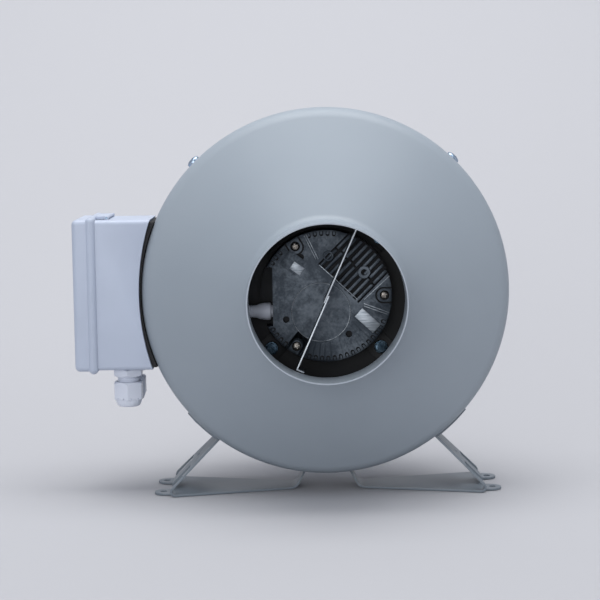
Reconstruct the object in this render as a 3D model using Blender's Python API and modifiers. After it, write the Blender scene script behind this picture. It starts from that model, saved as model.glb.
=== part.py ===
"""Inline duct fan with a round two-part casing, a motor in the outlet side and a terminal box.

Units are metres, +Z is up. The fan's axis runs along Y: the outlet faces -Y and the inlet +Y.
The terminal box is on the -X side. The origin is on the floor under the middle of the whole object.
Every piece is modelled around the fan's axis and hangs from the empty "fan_axis", which lifts it into place.
"""

import math

import bmesh
import bpy
from mathutils import Matrix, Vector

# Overall sizes
CASING_RADIUS = 0.180        # outside of the round casing
WALL_WIDTH = 0.084           # straight part of the casing, along the axis
TOTAL_LENGTH = 0.300         # from spigot rim to spigot rim
SPIGOT_RADIUS = 0.0745       # outside, fits a 150 mm duct
SPIGOT_LENGTH = 0.045
FLOOR_BELOW_AXIS = CASING_RADIUS + 0.019
SHEET = 0.0012               # casing sheet
GAP = 0.0003                 # between pieces that touch on the real fan
ROUND = 40                   # sides of the large turned pieces

# Casing
CORNER_BEND = 0.020          # bend between dome and wall
SPIGOT_FILLET = 0.012
LAP = 0.0065                 # how far each half reaches over the middle of the casing
CASING_SCREW_ANGLES = (45, 135, 225, 315)
CASING_SCREW_SHANK = 0.0025
CASING_SCREW_HEAD = 0.0068
CASING_SCREW_HEAD_HEIGHT = 0.0044
SCREW_CLEARANCE = 0.0006

# Outlet strips
VANE_DEPTH = 0.025
VANE_SHEET = 0.0012
VANE_ANGLE = math.radians(65.8)
VANE_FRONT = 0.108           # front edge of the strips, forward of the casing's middle
VANE_LAP = 0.004
VANE_TAB = 0.008

# Motor carrier
PLATE_RADIUS = 0.088
PLATE_HOLE = 0.020
PLATE_SHEET = 0.002
PLATE_FRONT = 0.042
ARM_SHEET = 0.0015
ARM_WIDTH = 0.024
ARM_INNER_END = 0.066
ARM_BEND = 0.014
ARM_REACH = 0.010            # how far an arm runs past the middle of the casing
ARM_BOLT_CIRCLE = 0.0755
ARM_BOLT_FLATS = 0.010
ARM_BOLT_HEIGHT = 0.004
ARM_BOLT_SHANK = 0.003

# Motor
HOUSING_RADIUS = 0.0635
HOUSING_FRONT = 0.074
HOUSING_FACE = 0.007
HOUSING_CAVITY = 0.0485
HOUSING_POCKET_X = 0.051     # flat side of the cable pocket, from the axis
HOUSING_POCKET_HALF = 0.0283
HOUSING_POCKET_DEPTH = 0.022
HOUSING_SCREW_CIRCLE = HOUSING_RADIUS - 0.0075
HOUSING_SCREW_ANGLES = (0, 121, 239)
HOUSING_SCREW_SHANK = 0.0018
HOUSING_SCREW_HEAD = 0.0032
FIN_COUNT = 9
FLANGE_THICK = 0.0057
BOARD_RADIUS = 0.0475
BOARD_FORWARD = 0.060
TUBE_RADIUS = 0.0125
TUBE_BORE = 0.0095
SHAFT_RADIUS = 0.005
BELL_RADIUS = 0.051
BELL_WALL = 0.0022
BELL_FRONT = 0.037
BELL_BACK = -0.022
MAGNET_THICK = 0.005
CORE_RADIUS = 0.041
CORE_FRONT = 0.026
CORE_BACK = -0.006
WINDING_HEIGHT = 0.007
BEARING_WIDTH = 0.009

# Impeller and inlet cone
IMPELLER_RADIUS = 0.115
BLADE_COUNT = 7
BLADE_SHEET = 0.002
BACKPLATE_FORWARD = 0.028
EYE_RADIUS = 0.068
EYE_BACK = -0.042
SHROUD_RIM_BACK = -0.026
CONE_END_RADIUS = 0.066
CONE_END_BACK = -0.044

# Terminal box
BOX_HALF_HEIGHT = 0.0735
BOX_HALF_DEPTH = 0.042
BOX_WALL = 0.0025
BOX_RIM_X = CASING_RADIUS + 0.049          # rim of the body, from the fan's axis
BAND_INNER_X = CASING_RADIUS + 0.043       # edge of the lid's raised band
BAND_OUTER_X = CASING_RADIUS + 0.0524
LID_FACE_X = CASING_RADIUS + 0.066
BAND_PROUD = 0.0035
LID_WALL = 0.0025
SADDLE_RADIUS = CASING_RADIUS + 0.050
SADDLE_X = CASING_RADIUS + 0.002           # middle of the saddle
HINGE_X = CASING_RADIUS + 0.0328
KNUCKLE_RADIUS = 0.0016
HINGE_PIN_RADIUS = 0.0008
TONGUE_HALF = 0.025
HINGE_EAR = 0.005
LID_SCREW_Y = 0.033
LID_SCREW_Z = -0.0645
BOX_SCREW_Y = -0.022
BOX_SCREW_Z = 0.058

# Cable glands
GLAND_X = CASING_RADIUS + 0.016
GLAND_Y = 0.020
GLAND_FLATS = 0.027
GLAND_HEX = 0.0079
GLAND_NECK = 0.0052
GLAND_NUT = 0.0177
GLAND_DOME = 0.0072
GLAND_THREAD = 0.0108
GLAND_TAIL = 0.010
GLAND_BORE = 0.0080
GLAND_MOUTH = 0.0062

# Cable
CABLE_RADIUS = 0.0033
CABLE_Y = -0.020
CABLE_Z = -0.008
SLEEVE_Y = -0.062
SLEEVE_Z = -0.015
SLEEVE_RADIUS = 0.0058
SLEEVE_COLLAR = 0.0085
SLEEVE_END_X = 0.076

# Foot brackets
FOOT_SHEET = 0.002
FOOT_HALF_WIDTH = 0.0475
FOOT_TAPER = 0.26
FOOT_LOOP_X = CASING_RADIUS - 0.0295       # centre of the outer bend, from the fan's axis
FOOT_LOOP_RADIUS = 0.005
FOOT_EAR_X = CASING_RADIUS - 0.008
FOOT_EAR_WIDTH = 0.024
FOOT_EAR_Y = 0.027
FOOT_EAR_HOLE = 0.0035
FOOT_TONGUE_X = 0.030
FOOT_TAB_END = 41            # degrees below the horizontal where the casing tab ends

# Sizes worked out from those above
HALF_LENGTH = TOTAL_LENGTH / 2
HALF_WALL = WALL_WIDTH / 2
AXIS_X = (LID_FACE_X - CASING_RADIUS) / 2
SHELL_INSIDE = CASING_RADIUS - SHEET
LAP_RADIUS = SHELL_INSIDE - GAP
LAP_INSIDE = LAP_RADIUS - SHEET
SPIGOT_INSIDE = SPIGOT_RADIUS - SHEET
FLANGE_FRONT = PLATE_FRONT + GAP + FLANGE_THICK
HOUSING_BACK = FLANGE_FRONT + GAP
SADDLE_CENTRE_X = SADDLE_RADIUS - SADDLE_X
HINGE_Z = BOX_HALF_HEIGHT + GAP + KNUCKLE_RADIUS

TO_OUTLET = Matrix.Rotation(math.radians(90), 4, "X")      # a turned piece's +Z looks to the outlet
TO_INLET = Matrix.Rotation(math.radians(-90), 4, "X")
ALONG_X = Matrix.Rotation(math.radians(90), 4, "Y")


# ---------------------------------------------------------------- tools

def clear_scene():
    for old in list(bpy.data.objects):
        bpy.data.objects.remove(old, do_unlink=True)


def new_collection(name):
    made = bpy.data.collections.new(name)
    bpy.context.scene.collection.children.link(made)
    return made


def material(name, colour, roughness, metallic=0.0):
    made = bpy.data.materials.new(name)
    made.use_nodes = True
    shader = made.node_tree.nodes["Principled BSDF"]
    shader.inputs["Base Color"].default_value = (*colour, 1.0)
    shader.inputs["Roughness"].default_value = roughness
    shader.inputs["Metallic"].default_value = metallic
    return made


def empty(name, place, parent=None):
    made = bpy.data.objects.new(name, None)
    made.location = place
    made.parent = parent
    PARTS.objects.link(made)
    return made


def hang(thing, parent, pivot=(0, 0, 0)):
    """Parent a piece to an empty that stands at pivot, and keep the piece where it is."""
    thing.parent = parent
    thing.matrix_parent_inverse = Matrix.Translation(-Vector(pivot))
    return thing


def from_bmesh(name, shape, finish=None, place=None):
    mesh = bpy.data.meshes.new(name)
    shape.to_mesh(mesh)
    shape.free()
    made = bpy.data.objects.new(name, mesh)
    made.matrix_basis = place or Matrix.Identity(4)
    if finish:
        mesh.materials.append(finish)
        PARTS.objects.link(made)
        made.parent = FAN_AXIS
    else:
        CUTTERS.objects.link(made)
        made.parent = FAN_AXIS
        made.hide_render = True
        made.display_type = "WIRE"
    return made


def at(x, y, z, turn=None):
    return Matrix.Translation((x, y, z)) @ (turn or Matrix.Identity(4))


def block(name, low, high, finish=None):
    """A box between two corners."""
    low, high = Vector(low), Vector(high)
    shape = bmesh.new()
    bmesh.ops.create_cube(shape, size=1.0)
    bmesh.ops.scale(shape, vec=high - low, verts=shape.verts)
    return from_bmesh(name, shape, finish, Matrix.Translation((low + high) / 2))


def rod(name, radius, length, place, finish=None, sides=16, end_radius=None):
    """A round or many-sided bar, centred on its place and running along its own Z."""
    shape = bmesh.new()
    bmesh.ops.create_cone(shape, cap_ends=True, segments=sides, radius1=radius,
                          radius2=radius if end_radius is None else end_radius, depth=length)
    made = from_bmesh(name, shape, finish, place)
    made.data.shade_smooth()
    made.data.set_sharp_from_angle(angle=math.radians(35))
    return made


def hexagon_radius(flats):
    return flats / math.sqrt(3)


def turned(name, profile, finish=None, place=TO_OUTLET, sides=ROUND, wall=0.0, closed=True):
    """Turn a profile of (radius, height) about Z. The outer side runs from top to bottom.

    A profile with a wall is an open line that Solidify thickens inwards. One that starts and ends
    on the axis isn't closed either.
    """
    shape = bmesh.new()
    points = [shape.verts.new((radius, 0.0, height)) for radius, height in profile]
    for first, second in zip(points, points[1:]):
        shape.edges.new((first, second))
    if closed and not wall:
        shape.edges.new((points[-1], points[0]))
    made = from_bmesh(name, shape, finish, place)
    screw = made.modifiers.new("Turn", "SCREW")
    screw.axis = "Z"
    screw.steps = sides
    screw.render_steps = sides
    screw.use_merge_vertices = True
    screw.merge_threshold = 0.00001
    if wall:
        solid = made.modifiers.new("Sheet", "SOLIDIFY")
        solid.thickness = wall
        solid.use_even_offset = True
    return made


def ring(name, outer, inner, top, bottom, finish=None, place=TO_OUTLET, sides=32):
    """A turned ring with a rectangular section."""
    profile = [(outer, top), (outer, bottom), (inner, bottom), (inner, top)]
    return turned(name, profile, finish, place, sides)


def rounded(points, radii, steps=2):
    """A line through 2D points whose inner corners become arcs of the given radii."""
    path = [Vector(points[0])]
    for before, corner, after, radius in zip(points, points[1:], points[2:], radii):
        corner = Vector(corner)
        back = (Vector(before) - corner).normalized()
        ahead = (Vector(after) - corner).normalized()
        half = back.angle(ahead) / 2
        reach = radius / math.tan(half)
        centre = corner + (back + ahead).normalized() * (radius / math.sin(half))
        start = corner + back * reach - centre
        turn = start.angle_signed(corner + ahead * reach - centre)
        for step in range(steps + 1):
            arc = start.copy()
            arc.rotate(Matrix.Rotation(-turn * step / steps, 2))
            path.append(centre + arc)
    path.append(Vector(points[-1]))
    return path


def strip(name, path, half_widths, thickness, finish=None, place=None):
    """Bent sheet: a path in X and Z whose width runs along Y. The thickness lies right of the path."""
    shape = bmesh.new()
    near = [shape.verts.new((x, -half, z)) for (x, z), half in zip(path, half_widths)]
    far = [shape.verts.new((x, half, z)) for (x, z), half in zip(path, half_widths)]
    for index in range(len(path) - 1):
        shape.faces.new((near[index], near[index + 1], far[index + 1], far[index]))
    made = from_bmesh(name, shape, finish, place)
    solid = made.modifiers.new("Sheet", "SOLIDIFY")
    solid.thickness = thickness
    solid.use_even_offset = True
    return made


def joined_cutter(name, pieces):
    """Several separate cutters as one object."""
    shape = bmesh.new()
    for piece in pieces:
        mesh = piece.data.copy()
        mesh.transform(piece.matrix_basis)
        shape.from_mesh(mesh)
        bpy.data.meshes.remove(mesh)
        bpy.data.objects.remove(piece, do_unlink=True)
    return from_bmesh(name, shape)


def shaped(thing, tool, operation="DIFFERENCE"):
    """Cut a piece with a tool, join it to the tool, or keep what both share."""
    change = thing.modifiers.new(operation.title(), "BOOLEAN")
    change.operation = operation
    change.object = tool
    change.solver = "EXACT"
    return thing


def polar(radius, degrees, forward=0.0):
    """A point at an angle about the fan's axis, as seen from the outlet."""
    angle = math.radians(degrees)
    return Vector((radius * math.cos(angle), -forward, radius * math.sin(angle)))


def radial(degrees):
    """Turn +Z to point away from the fan's axis at an angle, as seen from the outlet."""
    return Matrix.Rotation(math.radians(90 - degrees), 4, "Y")


def flat_inside(radius, half_width):
    """How far out a flat piece of some width can sit inside a round wall with ROUND sides."""
    wall = radius * math.cos(math.pi / ROUND)
    return math.sqrt(wall ** 2 - half_width ** 2) - GAP


# ---------------------------------------------------------------- casing

def dome_profile(wall_end):
    """The outside of one casing half, from its spigot's rim to the edge of its wall."""
    corners = [
        (SPIGOT_RADIUS, HALF_LENGTH),
        (SPIGOT_RADIUS, HALF_LENGTH - SPIGOT_LENGTH),
        (CASING_RADIUS, HALF_WALL),
        (CASING_RADIUS, wall_end),
    ]
    return rounded(corners, (SPIGOT_FILLET, CORNER_BEND))


def casing_screw_holes():
    radius = CASING_SCREW_SHANK + SCREW_CLEARANCE
    holes = []
    for angle in CASING_SCREW_ANGLES:
        place = Matrix.Translation(polar(CASING_RADIUS, angle)) @ radial(angle)
        holes.append(rod("hole", radius, 0.030, place, sides=8))
    return joined_cutter("casing_screw_holes", holes)


def box_screw_holes():
    radius = CASING_SCREW_SHANK + SCREW_CLEARANCE
    holes = [rod("hole", radius, 0.060, at(-SADDLE_X, BOX_SCREW_Y, side * BOX_SCREW_Z, ALONG_X), sides=8)
             for side in (-1, 1)]
    return joined_cutter("box_screw_holes", holes)


def make_casing():
    outlet = turned("outlet_shell", dome_profile(-LAP), GREY_PAINT, wall=SHEET)
    shaped(outlet, SCREW_HOLES)
    shaped(outlet, BOX_HOLES)
    shaped(outlet, CABLE_HOLE)
    joggle = [(CASING_RADIUS, LAP + 0.004), (LAP_RADIUS, LAP + 0.001), (LAP_RADIUS, -LAP)]
    inlet = turned("inlet_shell", dome_profile(LAP + 0.004)[:-1] + joggle, GREY_PAINT, TO_INLET, wall=SHEET)
    shaped(inlet, SCREW_HOLES)
    for number, angle in enumerate(CASING_SCREW_ANGLES, 1):
        under_head = CASING_RADIUS + GAP
        if angle > 180:
            under_head += FOOT_SHEET + GAP
        casing_screw(f"casing_screw_{number}", angle, under_head)


def casing_screw(name, angle, under_head):
    """A domed screw that points at the fan's axis. Its height is measured from that axis."""
    tip = LAP_INSIDE - 0.012
    top = under_head + CASING_SCREW_HEAD_HEIGHT
    profile = [
        (0.0, top),
        (CASING_SCREW_HEAD * 0.55, top - CASING_SCREW_HEAD_HEIGHT * 0.15),
        (CASING_SCREW_HEAD * 0.9, top - CASING_SCREW_HEAD_HEIGHT * 0.5),
        (CASING_SCREW_HEAD, under_head),
        (CASING_SCREW_SHANK, under_head),
        (CASING_SCREW_SHANK, tip),
        (0.0, tip - 0.002),
    ]
    return pole_to_pole(name, profile, ZINC, radial(angle), 8)


def pole_to_pole(name, profile, finish, place, sides=16):
    """A turned solid whose profile starts and ends on its axis."""
    return turned(name, profile, finish, place, sides, closed=False)


# ---------------------------------------------------------------- outlet strips

def make_vanes():
    """Two strips across the outlet, lapped and riveted on the axis, with tabs on the spigot's wall."""
    slope = Matrix.Rotation(-VANE_ANGLE, 4, "Y")        # +X runs up the strips
    front, back = -VANE_FRONT, -VANE_FRONT + VANE_DEPTH
    tab_face = flat_inside(SPIGOT_INSIDE, VANE_TAB + VANE_SHEET)
    rivet_hole = rod("vane_rivet_hole", 0.0021, 0.010, slope @ at(0, (front + back) / 2, 0), sides=8)
    for name, way in (("flow_vane_upper", 1), ("flow_vane_lower", -1)):
        start, end = sorted((-VANE_LAP * way, tab_face * way))
        low_side, high_side = sorted((way * GAP / 2, way * (GAP / 2 + VANE_SHEET)))
        plate = block(name, (start, front, low_side), (end, back, high_side), GALVANISED)
        tab_x = sorted((tab_face * way, (tab_face - VANE_SHEET) * way))
        tab_z = sorted((low_side if way > 0 else high_side, way * VANE_TAB))
        tab = block(name + "_tab", (tab_x[0], front, tab_z[0]), (tab_x[1], back, tab_z[1]))
        for piece in (plate, tab):
            piece.matrix_basis = slope @ piece.matrix_basis
        shaped(plate, tab, "UNION")
        shaped(plate, rivet_hole)
    grip = VANE_SHEET + GAP * 1.5
    rivet = [
        (0.0, grip + 0.0012), (0.0026, grip + 0.0010), (0.0034, grip),
        (0.0017, grip), (0.0017, -grip), (0.0034, -grip), (0.0026, -grip - 0.0010), (0.0, -grip - 0.0012),
    ]
    pole_to_pole("vane_rivet", rivet, GALVANISED, slope @ at(0, (front + back) / 2, 0), 8)


# ---------------------------------------------------------------- motor carrier

def along_arm(degrees):
    """Turn +X away from the axis and +Z to the outlet."""
    return Matrix.Rotation(math.radians(-degrees), 4, "Y") @ TO_OUTLET


def arm_bolt_holes():
    radius = ARM_BOLT_SHANK + SCREW_CLEARANCE
    holes = []
    for angle in CASING_SCREW_ANGLES:
        place = Matrix.Translation(polar(ARM_BOLT_CIRCLE, angle, PLATE_FRONT)) @ TO_OUTLET
        holes.append(rod("hole", radius, 0.020, place, sides=8))
    return joined_cutter("arm_bolt_holes", holes)


def make_carrier():
    plate = ring("motor_plate", PLATE_RADIUS, PLATE_HOLE, PLATE_FRONT, PLATE_FRONT - PLATE_SHEET,
                 BLACK_STEEL)
    bolt_holes = arm_bolt_holes()
    shaped(plate, bolt_holes)
    face = PLATE_FRONT + GAP + ARM_SHEET
    wall_x = flat_inside(LAP_INSIDE, ARM_WIDTH / 2)
    path = rounded([(ARM_INNER_END, face), (wall_x, face), (wall_x, -ARM_REACH)], (ARM_BEND,), 4)
    for number, angle in enumerate(CASING_SCREW_ANGLES, 1):
        arm = strip(f"support_arm_{number}", path, [ARM_WIDTH / 2] * len(path), ARM_SHEET,
                    BLACK_STEEL, along_arm(angle))
        shaped(arm, bolt_holes)
        shaped(arm, SCREW_HOLES)
        arm_bolt(f"arm_bolt_{number}", angle, face + GAP)


def arm_bolt(name, angle, seat):
    """A flanged hex bolt whose head sits on the front of a support arm."""
    washer = 0.001
    axis = Matrix.Translation(polar(ARM_BOLT_CIRCLE, angle)) @ TO_OUTLET
    tip = PLATE_FRONT - PLATE_SHEET - 0.004
    shank = [(0.0, seat + washer), (ARM_BOLT_FLATS * 0.62, seat + washer), (ARM_BOLT_FLATS * 0.68, seat),
             (ARM_BOLT_SHANK, seat), (ARM_BOLT_SHANK, tip), (0.0, tip - 0.001)]
    bolt = pole_to_pole(name, shank, ZINC, axis, 8)
    head = rod(name + "_head", hexagon_radius(ARM_BOLT_FLATS), ARM_BOLT_HEIGHT,
               axis @ at(0, 0, seat + washer / 2 + ARM_BOLT_HEIGHT / 2), sides=6)
    shaped(bolt, head, "UNION")


# ---------------------------------------------------------------- motor

def housing_screw_holes():
    radius = HOUSING_SCREW_SHANK + SCREW_CLEARANCE
    holes = []
    bottom, top = PLATE_FRONT + 0.002, HOUSING_FRONT + 0.010
    for angle in HOUSING_SCREW_ANGLES:
        place = Matrix.Translation(polar(HOUSING_SCREW_CIRCLE, angle, (bottom + top) / 2)) @ TO_OUTLET
        holes.append(rod("hole", radius, top - bottom, place, sides=8))
    return joined_cutter("housing_screw_holes", holes)


def make_housing(screw_holes):
    """The cast cover of the electronics: fins on its face, a cable pocket on its left."""
    outline = [
        (0.0, HOUSING_FRONT),
        (HOUSING_RADIUS - 0.001, HOUSING_FRONT),
        (HOUSING_RADIUS, HOUSING_FRONT - 0.001),
        (HOUSING_RADIUS, HOUSING_BACK),
        (HOUSING_CAVITY, HOUSING_BACK),
        (HOUSING_CAVITY, HOUSING_FRONT - HOUSING_FACE),
        (0.0, HOUSING_FRONT - HOUSING_FACE),
    ]
    housing = pole_to_pole("electronics_housing", outline, CAST_ALUMINIUM, TO_OUTLET, ROUND)
    shaped(housing, screw_holes)
    recess = 0.003
    seats = [rod("seat", HOUSING_SCREW_HEAD + 0.001, 2 * recess,
                 Matrix.Translation(polar(HOUSING_SCREW_CIRCLE, angle, HOUSING_FRONT)) @ TO_OUTLET, sides=8)
             for angle in HOUSING_SCREW_ANGLES]
    shaped(housing, joined_cutter("housing_screw_seats", seats))
    pocket = block("cable_pocket", (-HOUSING_RADIUS - 0.005, -HOUSING_FRONT - 0.005, -HOUSING_POCKET_HALF),
                   (-HOUSING_POCKET_X, -HOUSING_FRONT + HOUSING_POCKET_DEPTH, HOUSING_POCKET_HALF))
    shaped(housing, pocket)
    entry = rod("sleeve_hole", SLEEVE_RADIUS + GAP, 0.012,
                at(-HOUSING_POCKET_X, SLEEVE_Y, SLEEVE_Z, ALONG_X), sides=16)
    shaped(housing, entry)
    shaped(housing, fin_grooves())
    for number, angle in enumerate(HOUSING_SCREW_ANGLES, 1):
        seat = HOUSING_FRONT - recess + GAP
        profile = [(0.0, seat + 0.0025), (HOUSING_SCREW_HEAD * 0.8, seat + 0.0025),
                   (HOUSING_SCREW_HEAD, seat + 0.0015), (HOUSING_SCREW_HEAD, seat),
                   (HOUSING_SCREW_SHANK, seat), (HOUSING_SCREW_SHANK, PLATE_FRONT + 0.003),
                   (0.0, PLATE_FRONT + 0.0025)]
        pole_to_pole(f"housing_screw_{number}", profile, ZINC,
                     Matrix.Translation(polar(HOUSING_SCREW_CIRCLE, angle)) @ TO_OUTLET, 8)


def fin_grooves():
    """Grooves between the cooling fins. They run from the middle to the rim, up and to the right."""
    pitch, groove, start, depth = 0.0062, 0.0040, 0.0175, 0.0045
    slant = Matrix.Rotation(math.radians(-45), 4, "Y")
    grooves = []
    for number in range(FIN_COUNT):
        across = (number - (FIN_COUNT - 1) / 2) * pitch
        groove_block = block("groove", (start, -HOUSING_FRONT - 0.001, across - groove / 2),
                             (HOUSING_RADIUS + 0.003, -HOUSING_FRONT + depth, across + groove / 2))
        groove_block.matrix_basis = slant @ groove_block.matrix_basis
        grooves.append(groove_block)
    return joined_cutter("fin_grooves", grooves)


def make_stator(screw_holes):
    flange = ring("stator_flange", HOUSING_RADIUS, TUBE_RADIUS + GAP, FLANGE_FRONT, PLATE_FRONT + GAP,
                  CAST_ALUMINIUM, sides=ROUND)
    shaped(flange, screw_holes)
    post_top = BOARD_FORWARD - GAP
    for number, angle in enumerate((60, 180, 300)):
        post = rod(f"board_post_{number}", 0.003, post_top - FLANGE_FRONT + 0.002,
                   Matrix.Translation(polar(0.038, angle,
                                            (post_top + FLANGE_FRONT - 0.002) / 2)) @ TO_OUTLET,
                   sides=10)
        shaped(flange, post, "UNION")
    board_back, board_front = BOARD_FORWARD, BOARD_FORWARD + 0.0016
    board = rod("circuit_board", BOARD_RADIUS, board_front - board_back,
                at(0, -(board_back + board_front) / 2, 0, TO_OUTLET), BOARD_GREEN, 32)
    for number, (x, z) in enumerate(((0.020, 0.012), (0.002, 0.028), (-0.018, -0.020))):
        can = rod(f"capacitor_{number}", 0.007, 0.005, at(x, -board_front - 0.002, z, TO_OUTLET), sides=8)
        shaped(board, can, "UNION")
    collar = 0.0018
    tube_back = CORE_BACK - 0.004
    turned("bearing_tube", [
        (TUBE_RADIUS + 0.005, FLANGE_FRONT + GAP + collar),
        (TUBE_RADIUS + 0.005, FLANGE_FRONT + GAP),
        (TUBE_RADIUS, FLANGE_FRONT + GAP),
        (TUBE_RADIUS, tube_back),
        (TUBE_BORE, tube_back),
        (TUBE_BORE, FLANGE_FRONT + GAP + collar)], CAST_ALUMINIUM, sides=24)
    ring("bearing_front", TUBE_BORE - GAP, SHAFT_RADIUS + GAP, PLATE_FRONT + 0.003,
         PLATE_FRONT + 0.003 - BEARING_WIDTH, ZINC, sides=16)
    ring("bearing_rear", TUBE_BORE - GAP, SHAFT_RADIUS + GAP, tube_back + BEARING_WIDTH, tube_back, ZINC,
         sides=16)
    ring("stator_core", CORE_RADIUS, TUBE_RADIUS + GAP, CORE_FRONT, CORE_BACK, BLACK_STEEL, sides=24)
    rear_winding = CORE_BACK - GAP - WINDING_HEIGHT
    for name, low in (("winding_front", CORE_FRONT + GAP), ("winding_rear", rear_winding)):
        ring(name, CORE_RADIUS - 0.004, TUBE_RADIUS + 0.005, low + WINDING_HEIGHT, low, COPPER, sides=24)


def make_rotor(rotor_axis):
    shaft_hole = SHAFT_RADIUS + GAP
    boss_front = CORE_BACK - 0.006
    end_front = BELL_BACK + BELL_WALL
    bell = turned("rotor_bell", [
        (BELL_RADIUS, BELL_FRONT), (BELL_RADIUS, BELL_BACK), (shaft_hole, BELL_BACK),
        (shaft_hole, boss_front), (shaft_hole + 0.004, boss_front), (shaft_hole + 0.004, end_front),
        (BELL_RADIUS - BELL_WALL, end_front), (BELL_RADIUS - BELL_WALL, BELL_FRONT)], BLACK_STEEL, sides=32)
    magnet_outside = BELL_RADIUS - BELL_WALL - GAP
    magnets = ring("magnet_ring", magnet_outside, magnet_outside - MAGNET_THICK, BELL_FRONT - 0.003,
                   end_front + 0.006, BLACK_STEEL)
    shaft_front = PLATE_FRONT + 0.005
    shaft = rod("rotor_shaft", SHAFT_RADIUS, shaft_front - BELL_BACK,
                at(0, -(shaft_front + BELL_BACK) / 2, 0, TO_OUTLET), ZINC, 16)
    for piece in (bell, magnets, shaft, make_impeller()):
        hang(piece, rotor_axis)


def make_impeller():
    """Back plate with a collar on the rotor bell, backward-curved blades and a shroud with an eye."""
    sheet = 0.0016
    collar_in, collar_out = BELL_RADIUS + GAP, BELL_RADIUS + GAP + 0.002
    plate_front, plate_back = BACKPLATE_FORWARD, BACKPLATE_FORWARD - sheet
    impeller = turned("impeller", [
        (collar_in, plate_front + 0.002), (collar_out, plate_front + 0.002), (collar_out, plate_front),
        (IMPELLER_RADIUS, plate_front), (IMPELLER_RADIUS, plate_back), (collar_out, plate_back),
        (collar_out, BELL_BACK + 0.016), (collar_in, BELL_BACK + 0.016)], IMPELLER_PLASTIC)
    neck_radius, neck_back = EYE_RADIUS + 0.008, SHROUD_RIM_BACK - 0.007
    shroud = turned("shroud", [
        (EYE_RADIUS, EYE_BACK), (neck_radius - sheet / 2, neck_back + sheet / 2),
        (IMPELLER_RADIUS, SHROUD_RIM_BACK + sheet / 2), (IMPELLER_RADIUS, SHROUD_RIM_BACK - sheet / 2),
        (neck_radius + sheet / 2, neck_back - sheet / 2), (EYE_RADIUS + sheet, EYE_BACK)])
    envelope = turned("blade_space", [
        (EYE_RADIUS + 0.0015, plate_front - sheet / 2), (IMPELLER_RADIUS - 0.0005, plate_front - sheet / 2),
        (IMPELLER_RADIUS - 0.0005, SHROUD_RIM_BACK), (neck_radius, neck_back),
        (EYE_RADIUS + 0.0015, EYE_BACK + 0.001)])
    blades = []
    steps, sweep = 5, 38
    inner, outer = EYE_RADIUS - 0.002, IMPELLER_RADIUS + 0.003
    half_width = (plate_front - EYE_BACK) / 2 + 0.002
    middle = -(plate_front + EYE_BACK) / 2
    path = []
    for step in range(steps + 1):
        place = polar(inner + (outer - inner) * step / steps, -sweep * step / steps)
        path.append((place.x, place.z))
    for number in range(BLADE_COUNT):
        turn = Matrix.Rotation(math.tau * number / BLADE_COUNT, 4, "Y")
        blade = strip(f"blade_{number}", path, [half_width] * len(path), BLADE_SHEET, None,
                      turn @ at(0, middle, 0))
        shaped(blade, envelope, "INTERSECT")
        shaped(impeller, blade, "UNION")
    shaped(impeller, shroud, "UNION")
    return impeller


def make_inlet_cone():
    outside = SPIGOT_INSIDE - GAP
    profile = rounded([(outside, HALF_LENGTH - SPIGOT_LENGTH + 0.007), (outside, HALF_LENGTH - 0.058),
                       (CONE_END_RADIUS, -CONE_END_BACK)], (0.030,), 2)
    turned("inlet_cone", profile, GALVANISED, TO_INLET, wall=SHEET)


# ---------------------------------------------------------------- terminal box

def saddle_x(z, radius):
    """Where a cylinder about the saddle's centre crosses a height, on the box's side."""
    return SADDLE_CENTRE_X - math.sqrt(radius ** 2 - z ** 2)


def long_box(name, low, high, radius, finish=None):
    """A box whose four edges along X are rounded."""
    low, high = Vector(low), Vector(high)
    shape = bmesh.new()
    bmesh.ops.create_cube(shape, size=1.0)
    bmesh.ops.scale(shape, vec=high - low, verts=shape.verts)
    along = [edge for edge in shape.edges if abs((edge.verts[0].co - edge.verts[1].co).x) > 0.001]
    bmesh.ops.bevel(shape, geom=along, offset=radius, segments=2, profile=0.5, affect="EDGES")
    return from_bmesh(name, shape, finish, Matrix.Translation((low + high) / 2))


def around_box(x_low, x_high, grow):
    """Corners of a box as high and deep as the terminal box, larger by grow on each side."""
    half_depth, half_height = BOX_HALF_DEPTH + grow, BOX_HALF_HEIGHT + grow
    return (x_low, -half_depth, -half_height), (x_high, half_depth, half_height)


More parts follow.
